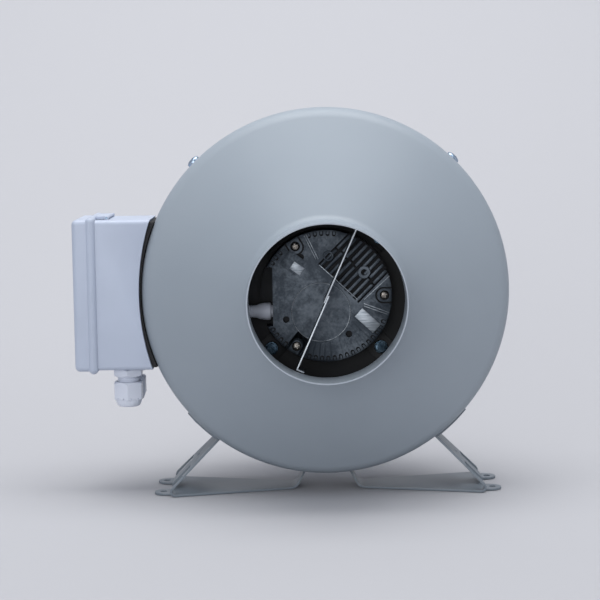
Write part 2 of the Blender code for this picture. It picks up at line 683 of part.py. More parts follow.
def make_box():
    corner = 0.004
    inner_edge = -saddle_x(BOX_HALF_HEIGHT, SADDLE_RADIUS) - 0.005
    body = long_box("box_body", *around_box(-BOX_RIM_X, -inner_edge, 0.0), corner, BOX_GREY)
    saddle = rod("saddle", SADDLE_RADIUS, 0.2, at(SADDLE_CENTRE_X, 0, 0, TO_OUTLET), sides=128)
    shaped(body, saddle)
    cavity = long_box("box_cavity", *around_box(-BOX_RIM_X - 0.01, -inner_edge + 0.01, -BOX_WALL),
                      corner / 2)
    shaped(cavity, rod("saddle_wall", SADDLE_RADIUS + BOX_WALL, 0.2,
                       at(SADDLE_CENTRE_X, 0, 0, TO_OUTLET), sides=128))
    shaped(body, cavity)
    boss_length = 0.014
    for side in (-1, 1):
        boss = rod(f"lid_boss_{side}", 0.007, boss_length,
                   at(-BOX_RIM_X + 0.001 + boss_length / 2, side * LID_SCREW_Y, LID_SCREW_Z, ALONG_X),
                   sides=8)
        shaped(body, boss, "UNION")
    shaped(body, joined_cutter("lid_boss_holes", [
        rod("hole", 0.0032, 0.040, at(-BOX_RIM_X, side * LID_SCREW_Y, LID_SCREW_Z, ALONG_X), sides=8)
        for side in (-1, 1)]))
    for side in (-1, 1):
        ear_y = sorted((side * (TONGUE_HALF + GAP), side * (TONGUE_HALF + GAP + HINGE_EAR)))
        ear = block(f"hinge_ear_{side}", (-HINGE_X - KNUCKLE_RADIUS, ear_y[0], BOX_HALF_HEIGHT - 0.001),
                    (-HINGE_X + KNUCKLE_RADIUS, ear_y[1], HINGE_Z + KNUCKLE_RADIUS))
        shaped(body, ear, "UNION")
    shaped(body, HINGE_BORE)
    shaped(body, BOX_HOLES)
    shaped(body, CABLE_HOLE)
    shaped(body, joined_cutter("gland_holes", [
        rod("hole", GLAND_TAIL + GAP, 0.020, at(-GLAND_X, side * GLAND_Y, -BOX_HALF_HEIGHT), sides=24)
        for side in (-1, 1)]))
    make_seal()
    make_box_screws()


def make_seal():
    """Foam between the box's saddle and the round casing, thicker towards its top and bottom."""
    low, high = around_box(-SADDLE_X - 0.008, -CASING_RADIUS + 0.030, -0.002)
    seal = long_box("box_seal", (low[0], low[1] + 0.002, low[2]), (high[0], high[1] - 0.002, high[2]), 0.002,
                    FOAM)
    shaped(seal, rod("seal_casing", CASING_RADIUS + GAP, 0.3, at(0, 0, 0, TO_OUTLET), sides=ROUND))
    shaped(seal, rod("seal_saddle", SADDLE_RADIUS - GAP, 0.3,
                     at(SADDLE_CENTRE_X, 0, 0, TO_OUTLET), sides=128), "INTERSECT")
    shaped(seal, block("seal_window", (-CASING_RADIUS - 0.020, -0.031, -0.035),
                                 (-CASING_RADIUS + 0.040, 0.020, 0.035)))
    shaped(seal, BOX_HOLES)


def make_box_screws():
    """Screws from inside the box, through the foam, into the casing's wall."""
    head, height = 0.0045, 0.0026
    for number, side in enumerate((-1, 1), 1):
        z = side * BOX_SCREW_Z
        seat = saddle_x(abs(z) - head, SADDLE_RADIUS + BOX_WALL) - GAP
        tip = -math.sqrt(CASING_RADIUS ** 2 - z ** 2) + 0.008
        profile = [(0.0, tip), (CASING_SCREW_SHANK, tip - 0.001), (CASING_SCREW_SHANK, seat), (head, seat),
                   (head, seat - height * 0.5), (head * 0.6, seat - height), (0.0, seat - height)]
        pole_to_pole(f"box_screw_{number}", profile, ZINC, at(0, BOX_SCREW_Y, z, ALONG_X), 8)


def make_lid(lid_axis):
    """Hinged lid: a proud band round the body's rim, a tongue on top and two captive screws."""
    corner = 0.005
    lid = long_box("box_lid", *around_box(-LID_FACE_X, -BAND_OUTER_X + 0.001, 0.001), corner, BOX_GREY)
    band = long_box("lid_band", *around_box(-BAND_OUTER_X, -BAND_INNER_X, BAND_PROUD), corner)
    shaped(lid, band, "UNION")
    shoulder = BOX_RIM_X + 0.002
    rim_space = long_box("lid_rim_space", *around_box(-shoulder, -BAND_INNER_X + 0.005, GAP), 0.004)
    room = long_box("lid_room", *around_box(-LID_FACE_X + LID_WALL, -shoulder + 0.001, -LID_WALL - 0.0005),
                    0.003)
    shaped(lid, rim_space)
    shaped(lid, room)
    for side in (-1, 1):
        post_x = sorted((-LID_FACE_X + LID_WALL / 2, -shoulder - GAP))
        post = rod(f"lid_post_{side}", 0.0065, post_x[1] - post_x[0],
                   at(sum(post_x) / 2, side * LID_SCREW_Y, LID_SCREW_Z, ALONG_X), sides=8)
        shaped(lid, post, "UNION")
    head, shank, sunk = 0.0038, 0.002, 0.0035
    holes = [rod("hole", shank + SCREW_CLEARANCE, 0.050,
                 at(-LID_FACE_X, side * LID_SCREW_Y, LID_SCREW_Z, ALONG_X), sides=8) for side in (-1, 1)]
    seats = [rod("seat", head + 0.0005, 2 * sunk,
                 at(-LID_FACE_X, side * LID_SCREW_Y, LID_SCREW_Z, ALONG_X), sides=8) for side in (-1, 1)]
    shaped(lid, joined_cutter("lid_screw_holes", holes))
    shaped(lid, joined_cutter("lid_screw_seats", seats))
    tongue = block("lid_tongue", (-BAND_INNER_X - 0.001, -TONGUE_HALF, BOX_HALF_HEIGHT + GAP),
                   (-HINGE_X, TONGUE_HALF, HINGE_Z + KNUCKLE_RADIUS))
    knuckle = rod("lid_knuckle", KNUCKLE_RADIUS, 2 * TONGUE_HALF, at(-HINGE_X, 0, HINGE_Z, TO_OUTLET),
                  sides=16)
    shaped(lid, tongue, "UNION")
    shaped(lid, knuckle, "UNION")
    shaped(lid, HINGE_BORE)
    gasket_low, gasket_high = around_box(-shoulder + GAP, -BOX_RIM_X - GAP, -GAP)
    gasket = long_box("lid_gasket", gasket_low, gasket_high, 0.004, FOAM)
    shaped(gasket, long_box("gasket_window", *around_box(-shoulder - 0.005, -BOX_RIM_X + 0.005, -BOX_WALL),
                            0.002))
    pieces = [lid, gasket]
    for number, side in enumerate((-1, 1), 1):
        seat = -LID_FACE_X + sunk - GAP
        tip = -BOX_RIM_X + 0.007
        profile = [(0.0, tip), (shank, tip - 0.001), (shank, seat), (head, seat), (head, seat - 0.0024),
                   (0.0, seat - 0.0024)]
        pieces.append(pole_to_pole(f"lid_screw_{number}", profile, ZINC,
                                   at(0, side * LID_SCREW_Y, LID_SCREW_Z, ALONG_X), 8))
    for piece in pieces:
        hang(piece, lid_axis, (-HINGE_X, 0, HINGE_Z))
    rod("lid_hinge_pin", HINGE_PIN_RADIUS, 2 * (TONGUE_HALF + GAP + HINGE_EAR),
        at(-HINGE_X, 0, HINGE_Z, TO_OUTLET),
        ZINC, 10)


def make_terminal_block():
    half_height, depth = 0.028, 0.013
    back = saddle_x(0, SADDLE_RADIUS + BOX_WALL) - GAP
    block_body = block("terminal_block", (back - depth, -0.008, -half_height), (back, 0.014, half_height),
                       CREAM)
    wells = [rod("well", 0.0028, 0.010, at(back - depth, y, (number - 2.5) * 0.009, ALONG_X), sides=8)
             for number in range(6) for y in (-0.003, 0.009)]
    shaped(block_body, joined_cutter("terminal_wells", wells))


# ---------------------------------------------------------------- cable glands

def make_gland(where, y, nut_axis):
    floor = -BOX_HALF_HEIGHT - GAP
    hex_bottom = floor - GLAND_HEX
    nut_top = hex_bottom - GLAND_NECK
    nut_bottom = nut_top - GLAND_NUT
    dome_bottom = nut_bottom - GLAND_DOME
    thread_end = nut_bottom + 0.007
    place = at(-GLAND_X, y, 0)
    corner = hexagon_radius(GLAND_FLATS)
    body = pole_to_pole(f"gland_body_{where}", [
        (0.0, floor + 0.0115), (GLAND_TAIL, floor + 0.0115), (GLAND_TAIL, floor - 0.002),
        (GLAND_THREAD, floor - 0.002), (GLAND_THREAD, thread_end), (0.0, thread_end)], GLAND_GREY, place, 24)
    shaped(body, rod(f"gland_hex_{where}", corner, GLAND_HEX, place @ at(0, 0, floor - GLAND_HEX / 2),
                     sides=6),
           "UNION")
    shaped(body, rod(f"gland_bore_{where}", GLAND_BORE, 0.060, place @ at(0, 0, hex_bottom), sides=24))
    lock_height = 0.005
    lock_bottom = -BOX_HALF_HEIGHT + BOX_WALL + GAP
    lock = rod(f"lock_nut_{where}", corner, lock_height, place @ at(0, 0, lock_bottom + lock_height / 2),
               GLAND_GREY, 6)
    shaped(lock, rod(f"lock_nut_thread_{where}", GLAND_TAIL + GAP, 0.020, place @ at(0, 0, lock_bottom),
                     sides=24))
    ring(f"gland_seal_{where}", GLAND_BORE - GAP, 0.0042, hex_bottom, thread_end, FOAM, place, 16)
    nut = rod(f"gland_nut_{where}", corner, GLAND_NUT, place @ at(0, 0, (nut_top + nut_bottom) / 2),
              GLAND_GREY, 6)
    dome_top = nut_bottom + 0.002
    dome = pole_to_pole(f"gland_dome_{where}", [
        (0.0, dome_top), (0.0128, dome_top), (0.0128, nut_bottom - 0.002),
        (0.0118, nut_bottom - GLAND_DOME * 0.6), (0.0098, dome_bottom), (0.0, dome_bottom)], None, place, 24)
    shaped(nut, dome, "UNION")
    inside = GLAND_THREAD + GAP
    bore = pole_to_pole(f"gland_nut_bore_{where}", [
        (0.0, nut_top + 0.005), (inside, nut_top + 0.005), (inside, thread_end - GAP),
        (GLAND_MOUTH, thread_end - 0.005), (GLAND_MOUTH, dome_bottom - 0.005), (0.0, dome_bottom - 0.005)],
        None, place, 24)
    shaped(nut, bore)
    hang(nut, nut_axis, (-GLAND_X, y, 0))


# ---------------------------------------------------------------- motor cable

def make_cable():
    bore = CABLE_RADIUS + 2 * GAP
    wall = -math.sqrt(SHELL_INSIDE ** 2 - 0.0175 ** 2) + 0.001
    back = saddle_x(0, SADDLE_RADIUS + BOX_WALL) - GAP
    neck, flange = 0.0064, 0.009
    turned("cable_grommet", [
        (flange, wall + 0.002), (flange, wall), (neck, wall), (neck, back), (flange, back),
        (flange, back - 0.0022), (bore, back - 0.0022), (bore, wall + 0.002)],
        RUBBER, at(0, CABLE_Y, CABLE_Z, ALONG_X), sides=20)
    sleeve_in = -HOUSING_CAVITY - 0.0004
    turned("cable_sleeve", [
        (SLEEVE_RADIUS, sleeve_in), (SLEEVE_RADIUS, -0.0565), (SLEEVE_COLLAR, -0.0565),
        (SLEEVE_COLLAR, -0.068), (SLEEVE_RADIUS + 0.001, -0.0705), (SLEEVE_RADIUS, -SLEEVE_END_X),
        (bore, -SLEEVE_END_X), (bore, sleeve_in)],
        GLAND_GREY, at(0, SLEEVE_Y, SLEEVE_Z, ALONG_X), sides=20)
    casing = -CASING_RADIUS
    route = [
        (-0.0475, SLEEVE_Y, SLEEVE_Z), (-0.062, SLEEVE_Y, SLEEVE_Z), (-SLEEVE_END_X, SLEEVE_Y, SLEEVE_Z),
        (-0.096, -0.0605, -0.0145), (-0.118, -0.053, -0.013), (casing + 0.040, -0.040, -0.011),
        (casing + 0.022, -0.027, -0.009), (casing + 0.008, CABLE_Y, CABLE_Z),
        (casing - 0.003, CABLE_Y, CABLE_Z), (casing - 0.011, CABLE_Y, CABLE_Z),
        (casing - 0.021, -0.0195, -0.014), (casing - 0.025, -0.014, -0.027),
        (casing - 0.020, -0.003, -0.036), (casing - 0.013, 0.003, -0.0325)]
    points = smooth_route([Vector(point) for point in route], 3)
    curve = bpy.data.curves.new("motor_cable", "CURVE")
    curve.dimensions = "3D"
    curve.bevel_depth = CABLE_RADIUS
    curve.bevel_resolution = 2
    curve.use_fill_caps = True
    spline = curve.splines.new("POLY")
    spline.points.add(len(points) - 1)
    for slot, point in zip(spline.points, points):
        slot.co = (*point, 1.0)
    curve.materials.append(CABLE_BLACK)
    cable = bpy.data.objects.new("motor_cable", curve)
    PARTS.objects.link(cable)
    cable.parent = FAN_AXIS


def smooth_route(points, steps):
    """A smooth curve through all the points."""
    ends = [points[0] * 2 - points[1], *points, points[-1] * 2 - points[-2]]
    path = []
    for before, start, end, after in zip(ends, ends[1:], ends[2:], ends[3:]):
        for step in range(steps):
            t = step / steps
            bend = (2 * before - 5 * start + 4 * end - after) * t ** 2
            twist = (3 * start - before - 3 * end + after) * t ** 3
            path.append(0.5 * (2 * start + (end - before) * t + bend + twist))
    path.append(points[-1])
    return path


# ---------------------------------------------------------------- foot brackets

def foot_path():
    """The outside of a bracket's strip: tongue, base, outer bend, arm and the tab on the casing."""
    base = -FLOOR_BELOW_AXIS
    touch = CASING_RADIUS + GAP
    tongue_end = -math.sqrt(touch ** 2 - 0.021 ** 2) - FOOT_SHEET / 2
    path = [(-0.021, tongue_end), (-FOOT_TONGUE_X, base + 0.001), (-FOOT_TONGUE_X - 0.001, base)]
    for degrees in (90, 45, 0, -45):
        angle = math.radians(180 + degrees)
        path.append((-FOOT_LOOP_X + FOOT_LOOP_RADIUS * math.cos(angle),
                     base + FOOT_LOOP_RADIUS + FOOT_LOOP_RADIUS * math.sin(angle)))
    arm_x, arm_z = path[-1]
    tab = touch + FOOT_SHEET
    drop = arm_z - arm_x
    meet_x = (-drop - math.sqrt(2 * tab ** 2 - drop ** 2)) / 2
    meet = math.degrees(math.atan2(-(meet_x + drop), -meet_x))
    facet = 360 / ROUND
    below_tab = [facet * step for step in range(12, 0, -1)]
    angles = [meet] + [angle for angle in below_tab if FOOT_TAB_END < angle < meet - 0.05]
    angles.append(FOOT_TAB_END)
    for angle in angles:
        path.append((-tab * math.cos(math.radians(angle)), -tab * math.sin(math.radians(angle))))
    return path


def foot_widths(path):
    """Half the strip's width along its path: widest at the outer bend, tapering both ways."""
    base_x = -FOOT_LOOP_X
    widths = []
    travelled = 0.0
    loop_end = 6
    for index, (x, z) in enumerate(path):
        if index <= 3:
            widths.append(FOOT_HALF_WIDTH - FOOT_TAPER * abs(x - base_x))
        elif index <= loop_end:
            widths.append(FOOT_HALF_WIDTH)
        else:
            before = Vector(path[index - 1])
            travelled += (Vector((x, z)) - before).length
            widths.append(max(FOOT_HALF_WIDTH - FOOT_TAPER * travelled, 0.012))
    return widths


def make_bracket(name, turn):
    """One foot bracket. The left one is drawn and the right one is the same, turned half round."""
    path = foot_path()
    bracket = strip(name, path, foot_widths(path), FOOT_SHEET, GREY_PAINT, turn)
    base = -FLOOR_BELOW_AXIS
    half = FOOT_EAR_WIDTH / 2
    slit, inset = 0.0005, 0.0001
    for side in (-1, 1):
        y_low, y_high = side * FOOT_EAR_Y - half, side * FOOT_EAR_Y + half
        notch = block(f"{name}_notch", (-FOOT_LOOP_X - 0.010, y_low - slit, base - 0.002),
                      (-FOOT_LOOP_X, y_high + slit, base + 0.030))
        window = block(f"{name}_window", (-FOOT_LOOP_X - 0.001, y_low - slit, base + 0.005),
                       (-FOOT_LOOP_X + 0.014, y_high + slit, base + 0.027))
        ear = block(f"{name}_ear", (-FOOT_EAR_X + half, y_low, base + inset),
                    (-FOOT_LOOP_X + 0.0015, y_high, base + FOOT_SHEET - inset))
        ear_end = rod(f"{name}_ear_end", half, FOOT_SHEET - 3 * inset,
                      at(-FOOT_EAR_X + half, side * FOOT_EAR_Y, base + FOOT_SHEET / 2), sides=24)
        ear_hole = rod(f"{name}_ear_hole", FOOT_EAR_HOLE, 0.010,
                       at((-FOOT_EAR_X - FOOT_LOOP_X) / 2 - 0.002, side * FOOT_EAR_Y, base), sides=16)
        for tool, operation in ((notch, "DIFFERENCE"), (window, "DIFFERENCE"), (ear, "UNION"),
                                (ear_end, "UNION"), (ear_hole, "DIFFERENCE")):
            tool.matrix_basis = turn @ tool.matrix_basis
            shaped(bracket, tool, operation)
    shaped(bracket, SCREW_HOLES)


# ---------------------------------------------------------------- the whole fan

clear_scene()
PARTS = new_collection("inline_duct_fan")
CUTTERS = new_collection("cutters")
FAN_AXIS = empty("fan_axis", (AXIS_X, 0.0, FLOOR_BELOW_AXIS))

GREY_PAINT = material("grey painted steel", (0.28, 0.32, 0.36), 0.45, 0.0)
GALVANISED = material("galvanised sheet", (0.36, 0.39, 0.42), 0.45, 0.8)
BLACK_STEEL = material("black steel", (0.03, 0.03, 0.035), 0.5, 0.3)
CAST_ALUMINIUM = material("cast aluminium", (0.22, 0.24, 0.27), 0.5, 0.8)
ZINC = material("blue zinc", (0.45, 0.48, 0.55), 0.35, 0.9)
IMPELLER_PLASTIC = material("impeller plastic", (0.05, 0.05, 0.05), 0.5)
BOX_GREY = material("box grey", (0.37, 0.42, 0.52), 0.5)
GLAND_GREY = material("gland grey", (0.62, 0.65, 0.72), 0.5)
FOAM = material("black foam", (0.02, 0.02, 0.02), 0.9)
RUBBER = material("rubber", (0.02, 0.02, 0.02), 0.8)
COPPER = material("copper winding", (0.50, 0.22, 0.10), 0.4, 0.7)
BOARD_GREEN = material("circuit board", (0.03, 0.16, 0.06), 0.5)
CREAM = material("terminal plastic", (0.75, 0.72, 0.62), 0.5)
CABLE_BLACK = material("cable sheath", (0.02, 0.02, 0.02), 0.6)

SCREW_HOLES = casing_screw_holes()
BOX_HOLES = box_screw_holes()
CABLE_HOLE = rod("cable_hole", 0.0068, 0.040, at(-SADDLE_X, CABLE_Y, CABLE_Z, ALONG_X), sides=20)
HINGE_BORE = rod("hinge_bore", HINGE_PIN_RADIUS + GAP, 2 * (TONGUE_HALF + HINGE_EAR) + 0.010,
                 at(-HINGE_X, 0, HINGE_Z, TO_OUTLET), sides=10)

make_casing()
make_vanes()
make_carrier()
HOUSING_HOLES = housing_screw_holes()
make_housing(HOUSING_HOLES)
make_stator(HOUSING_HOLES)
make_rotor(empty("rotor_axis", (0, 0, 0), FAN_AXIS))
make_inlet_cone()
make_box()
make_lid(empty("lid_axis", (-HINGE_X, 0, HINGE_Z), FAN_AXIS))
make_terminal_block()
for gland_side, gland_y in (("front", -GLAND_Y), ("rear", GLAND_Y)):
    make_gland(gland_side, gland_y, empty(f"nut_axis_{gland_side}", (-GLAND_X, gland_y, 0), FAN_AXIS))
make_cable()
make_bracket("left_bracket", Matrix.Identity(4))
make_bracket("right_bracket", Matrix.Rotation(math.pi, 4, "Z"))
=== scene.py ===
"""Looks of an inline duct fan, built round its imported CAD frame.

Metres, +Z up. The fan's axis runs along Y with the outlet at -Y, and the terminal box is at -X.
"""
import math

import bpy
from mathutils import Matrix, Vector


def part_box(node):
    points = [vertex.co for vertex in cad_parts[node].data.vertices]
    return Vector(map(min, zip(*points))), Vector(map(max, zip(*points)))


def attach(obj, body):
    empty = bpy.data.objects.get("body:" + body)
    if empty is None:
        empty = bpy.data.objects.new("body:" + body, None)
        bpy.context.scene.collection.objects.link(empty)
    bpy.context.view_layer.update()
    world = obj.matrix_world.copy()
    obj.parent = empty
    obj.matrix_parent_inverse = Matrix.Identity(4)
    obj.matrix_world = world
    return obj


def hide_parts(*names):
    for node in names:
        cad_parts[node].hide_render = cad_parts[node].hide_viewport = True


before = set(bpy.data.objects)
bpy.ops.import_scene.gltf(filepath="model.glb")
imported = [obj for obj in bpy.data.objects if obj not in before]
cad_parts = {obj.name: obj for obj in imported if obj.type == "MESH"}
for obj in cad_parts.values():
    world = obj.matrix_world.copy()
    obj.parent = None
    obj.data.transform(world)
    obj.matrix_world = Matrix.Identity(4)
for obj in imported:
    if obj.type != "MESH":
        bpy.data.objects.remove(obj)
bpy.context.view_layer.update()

MM = 0.001
TINY = 0.001 * MM
at = Matrix.Translation
STILL = Matrix.Identity(4)


# ---------------------------------------------------------------- places from the frame

def centre(node):
    low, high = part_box(node)
    return (Vector(low) + Vector(high)) / 2


def span(node):
    low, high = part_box(node)
    return Vector(high) - Vector(low)


AXIS = centre("rotor_shaft")
AXIS.y = 0.0
CASING = span("outlet_shell").x / 2
RIM = -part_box("outlet_shell")[0][1]
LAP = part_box("outlet_shell")[1][1]
SHEET = 1.2 * MM
FOOT_SHEET = 2 * MM
GAP = 0.3 * MM
SPIGOT = span("inlet_cone").x / 2 + GAP + SHEET
HOUSING = span("electronics_housing").x / 2
HOUSING_FACE = -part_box("electronics_housing")[0][1]
HOUSING_BACK = -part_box("electronics_housing")[1][1]
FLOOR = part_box("left_bracket")[0][2]
WALL_HALF = 42 * MM                                       # half of the casing's straight wall

FACE_OUT = Matrix.Rotation(math.radians(90), 4, "X")      # turn +Z to the outlet
TO_OUTLET = at(AXIS) @ FACE_OUT
TO_INLET = at(AXIS) @ Matrix.Rotation(math.radians(-90), 4, "X")
ALONG_X = Matrix.Rotation(math.radians(90), 4, "Y")
SCREW_ANGLES = (45, 135, 225, 315)


def near_axis(x, y, z, turn=None):
    """A place given from the fan's axis and the casing's middle."""
    return at(AXIS + Vector((x, y, z))) @ (turn or STILL)


def round_axis(radius, degrees, forward=0.0):
    """A point at an angle round the fan's axis, forward of the casing's middle."""
    angle = math.radians(degrees)
    return AXIS + Vector((radius * math.cos(angle), -forward, radius * math.sin(angle)))


def outward(degrees):
    """Turn +Z away from the fan's axis at an angle."""
    return Matrix.Rotation(math.radians(90 - degrees), 4, "Y")


# ---------------------------------------------------------------- bench tools

def clear_selection():
    if bpy.context.object and bpy.context.object.mode != "OBJECT":
        bpy.ops.object.mode_set(mode="OBJECT")
    bpy.ops.object.select_all(action="DESELECT")


def hold(piece):
    """Select one piece and make it active."""
    clear_selection()
    piece.select_set(True)
    bpy.context.view_layer.objects.active = piece
    return piece


def edit(piece, kind="VERT", action="SELECT"):
    hold(piece)
    bpy.ops.object.mode_set(mode="EDIT")
    bpy.ops.mesh.select_mode(type=kind)
    bpy.ops.mesh.select_all(action=action)


def leave_edit():
    bpy.ops.object.mode_set(mode="OBJECT")


def pick_vertices(piece, wanted):
    """Edit a mesh with only the vertices selected whose place passes a test."""
    edit(piece, action="DESELECT")
    leave_edit()
    for vertex in piece.data.vertices:
        vertex.select = wanted(vertex.co)
    bpy.ops.object.mode_set(mode="EDIT")


def settle(piece, place=None):
    """Put a piece in place and leave its object at the origin."""
    hold(piece)
    if place is not None:
        piece.matrix_world = place @ piece.matrix_world
    bpy.ops.object.transform_apply(location=True, rotation=True, scale=True)
    return piece


def smooth(piece, degrees=32):
    hold(piece)
    bpy.ops.object.shade_smooth_by_angle(angle=math.radians(degrees))
    return piece


def apply_modifier(piece, kind, **settings):
    hold(piece)
    change = piece.modifiers.new(kind.title(), kind)
    for setting, value in settings.items():
        setattr(change, setting, value)
    bpy.ops.object.modifier_apply(modifier=change.name)
    return piece


def thicken(piece, wall):
    return apply_modifier(piece, "SOLIDIFY", thickness=wall, use_even_offset=True)


def soften(piece, width, segments=2, degrees=40):
    """Round the piece's sharp edges."""
    return apply_modifier(piece, "BEVEL", width=width, segments=segments, limit_method="ANGLE",
                          angle_limit=math.radians(degrees), harden_normals=False, use_clamp_overlap=True)


def combine(piece, tool, operation="DIFFERENCE"):
    """Cut with a tool, or join it on, and use the tool up."""
    apply_modifier(piece, "BOOLEAN", object=tool, operation=operation, solver="EXACT")
    bpy.data.objects.remove(tool, do_unlink=True)
    return piece


def drill(piece, radius, length, place, sides=48):
    """Cut a round hole."""
    return combine(piece, bar("hole", radius, length, place, sides))


def together(pieces):
    """Put separate bodies in one object."""
    hold(pieces[0])
    for piece in pieces[1:]:
        piece.select_set(True)
    bpy.ops.object.join()
    return bpy.context.object


def copied(piece, name, place):
    """A copy with its own mesh, moved by a matrix."""
    twin = piece.copy()
    twin.data = piece.data.copy()
    twin.name = name
    bpy.context.scene.collection.objects.link(twin)
    return settle(twin, place)


def cube(name, low, high, place=None):
    clear_selection()
    low, high = Vector(low), Vector(high)
    bpy.ops.mesh.primitive_cube_add(size=1.0, location=(low + high) / 2, scale=high - low)
    piece = bpy.context.object
    piece.name = name
    return settle(piece, place)


def bar(name, radius, length, place, sides=48):
    clear_selection()
    bpy.ops.mesh.primitive_cylinder_add(vertices=sides, radius=radius, depth=length)
    piece = bpy.context.object
    piece.name = name
    return settle(piece, place)


def lathe(name, profile, place, sides=96, closed=False):
    """Extrude a circle from each (radius, height) to the next, as on a lathe, and put it in place."""
    pole = TINY
    clear_selection()
    if closed:
        profile = [*profile, profile[0]]
    radius, height = profile[0]
    radius = max(radius, pole)
    bpy.ops.mesh.primitive_circle_add(vertices=sides, radius=radius, location=(0, 0, height))
    piece = bpy.context.object
    piece.name = name
    settle(piece)
    edit(piece)
    for next_radius, next_height in profile[1:]:
        next_radius = max(next_radius, pole)
        bpy.ops.mesh.extrude_region_move(TRANSFORM_OT_translate={"value": (0, 0, next_height - height)})
        grow = next_radius / radius
        bpy.ops.transform.resize(value=(grow, grow, 1.0), center_override=(0, 0, 0))
        radius, height = next_radius, next_height
    bpy.ops.mesh.select_all(action="SELECT")
    bpy.ops.mesh.remove_doubles(threshold=pole * 5)
    bpy.ops.mesh.normals_make_consistent(inside=False)
    leave_edit()
    return smooth(settle(piece, place))


def arc(middle, radius, start, end, steps):
    """Points on an arc, for a profile. Angles are in degrees."""
    points = []
    for step in range(steps + 1):
        angle = math.radians(start + (end - start) * step / steps)
        points.append((middle[0] + radius * math.cos(angle), middle[1] + radius * math.sin(angle)))
    return points


def rounded(corners, radii, steps=6):
    """A line through 2D corners, with arcs of the given radii at its inner corners."""
    path = [corners[0]]
    for before, corner, after, radius in zip(corners, corners[1:], corners[2:], radii):
        corner = Vector(corner)
        back = (Vector(before) - corner).normalized()
        ahead = (Vector(after) - corner).normalized()
        half = back.angle(ahead) / 2
        reach = radius / math.tan(half)
        middle = corner + (back + ahead).normalized() * (radius / math.sin(half))
        start = corner + back * reach - middle
        end = corner + ahead * reach - middle
        turn = -start.angle_signed(end)
        first = math.atan2(start.y, start.x)
        path += arc(middle, radius, math.degrees(first), math.degrees(first + turn), steps)
    path.append(corners[-1])
    return [(point[0], point[1]) for point in path]


def finish_piece(piece, body, finish, slot, *nodes):
    """Give a piece its material, its body and the CAD nodes that it stands for. Its slot is not used."""
    piece.data.materials.clear()
    piece.data.materials.append(finish)
    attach(piece, body)
    if nodes:
        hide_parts(*nodes)
    return piece


# ---------------------------------------------------------------- materials

class Formula:
    """Wraps a socket or a number, so that shader maths reads as a formula."""

    def __init__(self, finish, socket):
        self.finish = finish
        self.socket = socket

    def maths(self, operation, *values):
        return self.finish.node("ShaderNodeMath", {"operation": operation}, *values)

    def __add__(self, other):
        return self.maths("ADD", self, other)

    def __mul__(self, other):
        return self.maths("MULTIPLY", self, other)

    def above(self, edge, soft):
        """0 below the edge, 1 above it, with a soft step."""
        return self.finish.node("ShaderNodeMapRange", {"interpolation_type": "SMOOTHSTEP"},
                                self, edge - soft, edge + soft)


class Finish:
    """One material, with the nodes that its formulas add."""

    def __init__(self, name, colour, roughness, metallic=0.0, **shader_values):
        self.material = bpy.data.materials.new(name)
        self.material.use_nodes = True
        self.tree = self.material.node_tree
        self.shader = self.tree.nodes["Principled BSDF"]
        self.set("Base Color", (*colour, 1.0))
        self.set("Roughness", roughness)
        self.set("Metallic", metallic)
        for socket, value in shader_values.items():
            self.set(socket.replace("_", " "), value)
        coordinates = self.tree.nodes.new("ShaderNodeTexCoord")
        self.place = Formula(self, coordinates.outputs["Object"])

    def set(self, socket, value):
        self.shader.inputs[socket].default_value = value

    def link(self, value, socket):
        if isinstance(value, Formula):
            self.tree.links.new(value.socket, socket)
        else:
            socket.default_value = value

    def node(self, kind, settings, *values, output=0, **named):
        made = self.tree.nodes.new(kind)
        for setting, value in settings.items():
            setattr(made, setting, value)
        for value, socket in zip(values, made.inputs):
            self.link(value, socket)
        for name, value in named.items():
            self.link(value, made.inputs[name.replace("_", " ")])
        return Formula(self, made.outputs[output])

    def stretched(self, x, y, z):
        """Object coordinates scaled along each axis."""
        return self.node("ShaderNodeMapping", {}, Vector=self.place, Scale=(x, y, z))

    def noise(self, scale, detail=3.0, place=None, roughness=0.5):
        return self.node("ShaderNodeTexNoise", {}, Vector=place or self.place, Scale=scale, Detail=detail,
                         Roughness=roughness)

    def mixed(self, amount, first, second):
        mix = self.tree.nodes.new("ShaderNodeMix")
        mix.data_type = "RGBA"
        self.link(amount, mix.inputs[0])
        for value, socket in ((first, mix.inputs[6]), (second, mix.inputs[7])):
            self.link(value if isinstance(value, Formula) else (*value, 1.0), socket)
        return Formula(self, mix.outputs[2])

    def bump(self, height, strength, distance):
        normal = self.node("ShaderNodeBump", {}, Height=height, Strength=strength, Distance=distance)
        self.wire("Normal", normal)

    def wire(self, socket, value):
        self.tree.links.new(value.socket, self.shader.inputs[socket])


def grey_paint(name, dark, light):
    """Satin powder coat on sheet steel: fine orange peel, a slow drift of tone and a few dull smears."""
    finish = Finish(name, light, 0.46)
    drift = finish.noise(5.0, 4.0)
    smears = finish.noise(9.0, 5.0, finish.stretched(0.6, 1.0, 2.2), roughness=0.6)
    coat = finish.mixed(drift.above(0.5, 0.3), dark, light)
    forward = finish.node("ShaderNodeSeparateXYZ", {}, finish.place, output=1) * -1.0
    # A lighter colour along the last fraction of a millimetre at the spigot's rim.
    rim_edge_band = forward.above(RIM - 0.0004, 0.0002)
    finish.wire("Base Color", finish.mixed(rim_edge_band, coat, (0.36, 0.40, 0.45)))
    finish.wire("Roughness", smears.above(0.55, 0.25) * 0.10 + drift * 0.06 + 0.40)
    peel = finish.noise(260.0, 2.0)
    finish.bump(peel, 0.12, 0.00025)
    return finish.material


def bare_edge_steel():
    """Brighter zinc sheet of the small flat pieces."""
    finish = Finish("bright galvanised strip", (0.48, 0.51, 0.55), 0.34, 0.92)
    drift = finish.noise(30.0, 4.0)
    finish.wire("Base Color", finish.mixed(drift.above(0.5, 0.3), (0.42, 0.45, 0.49), (0.56, 0.59, 0.63)))
    finish.wire("Roughness", drift * 0.2 + 0.25)
    finish.bump(finish.noise(250.0, 2.0, finish.stretched(1.0, 0.1, 1.0)), 0.15, 0.0002)
    return finish.material


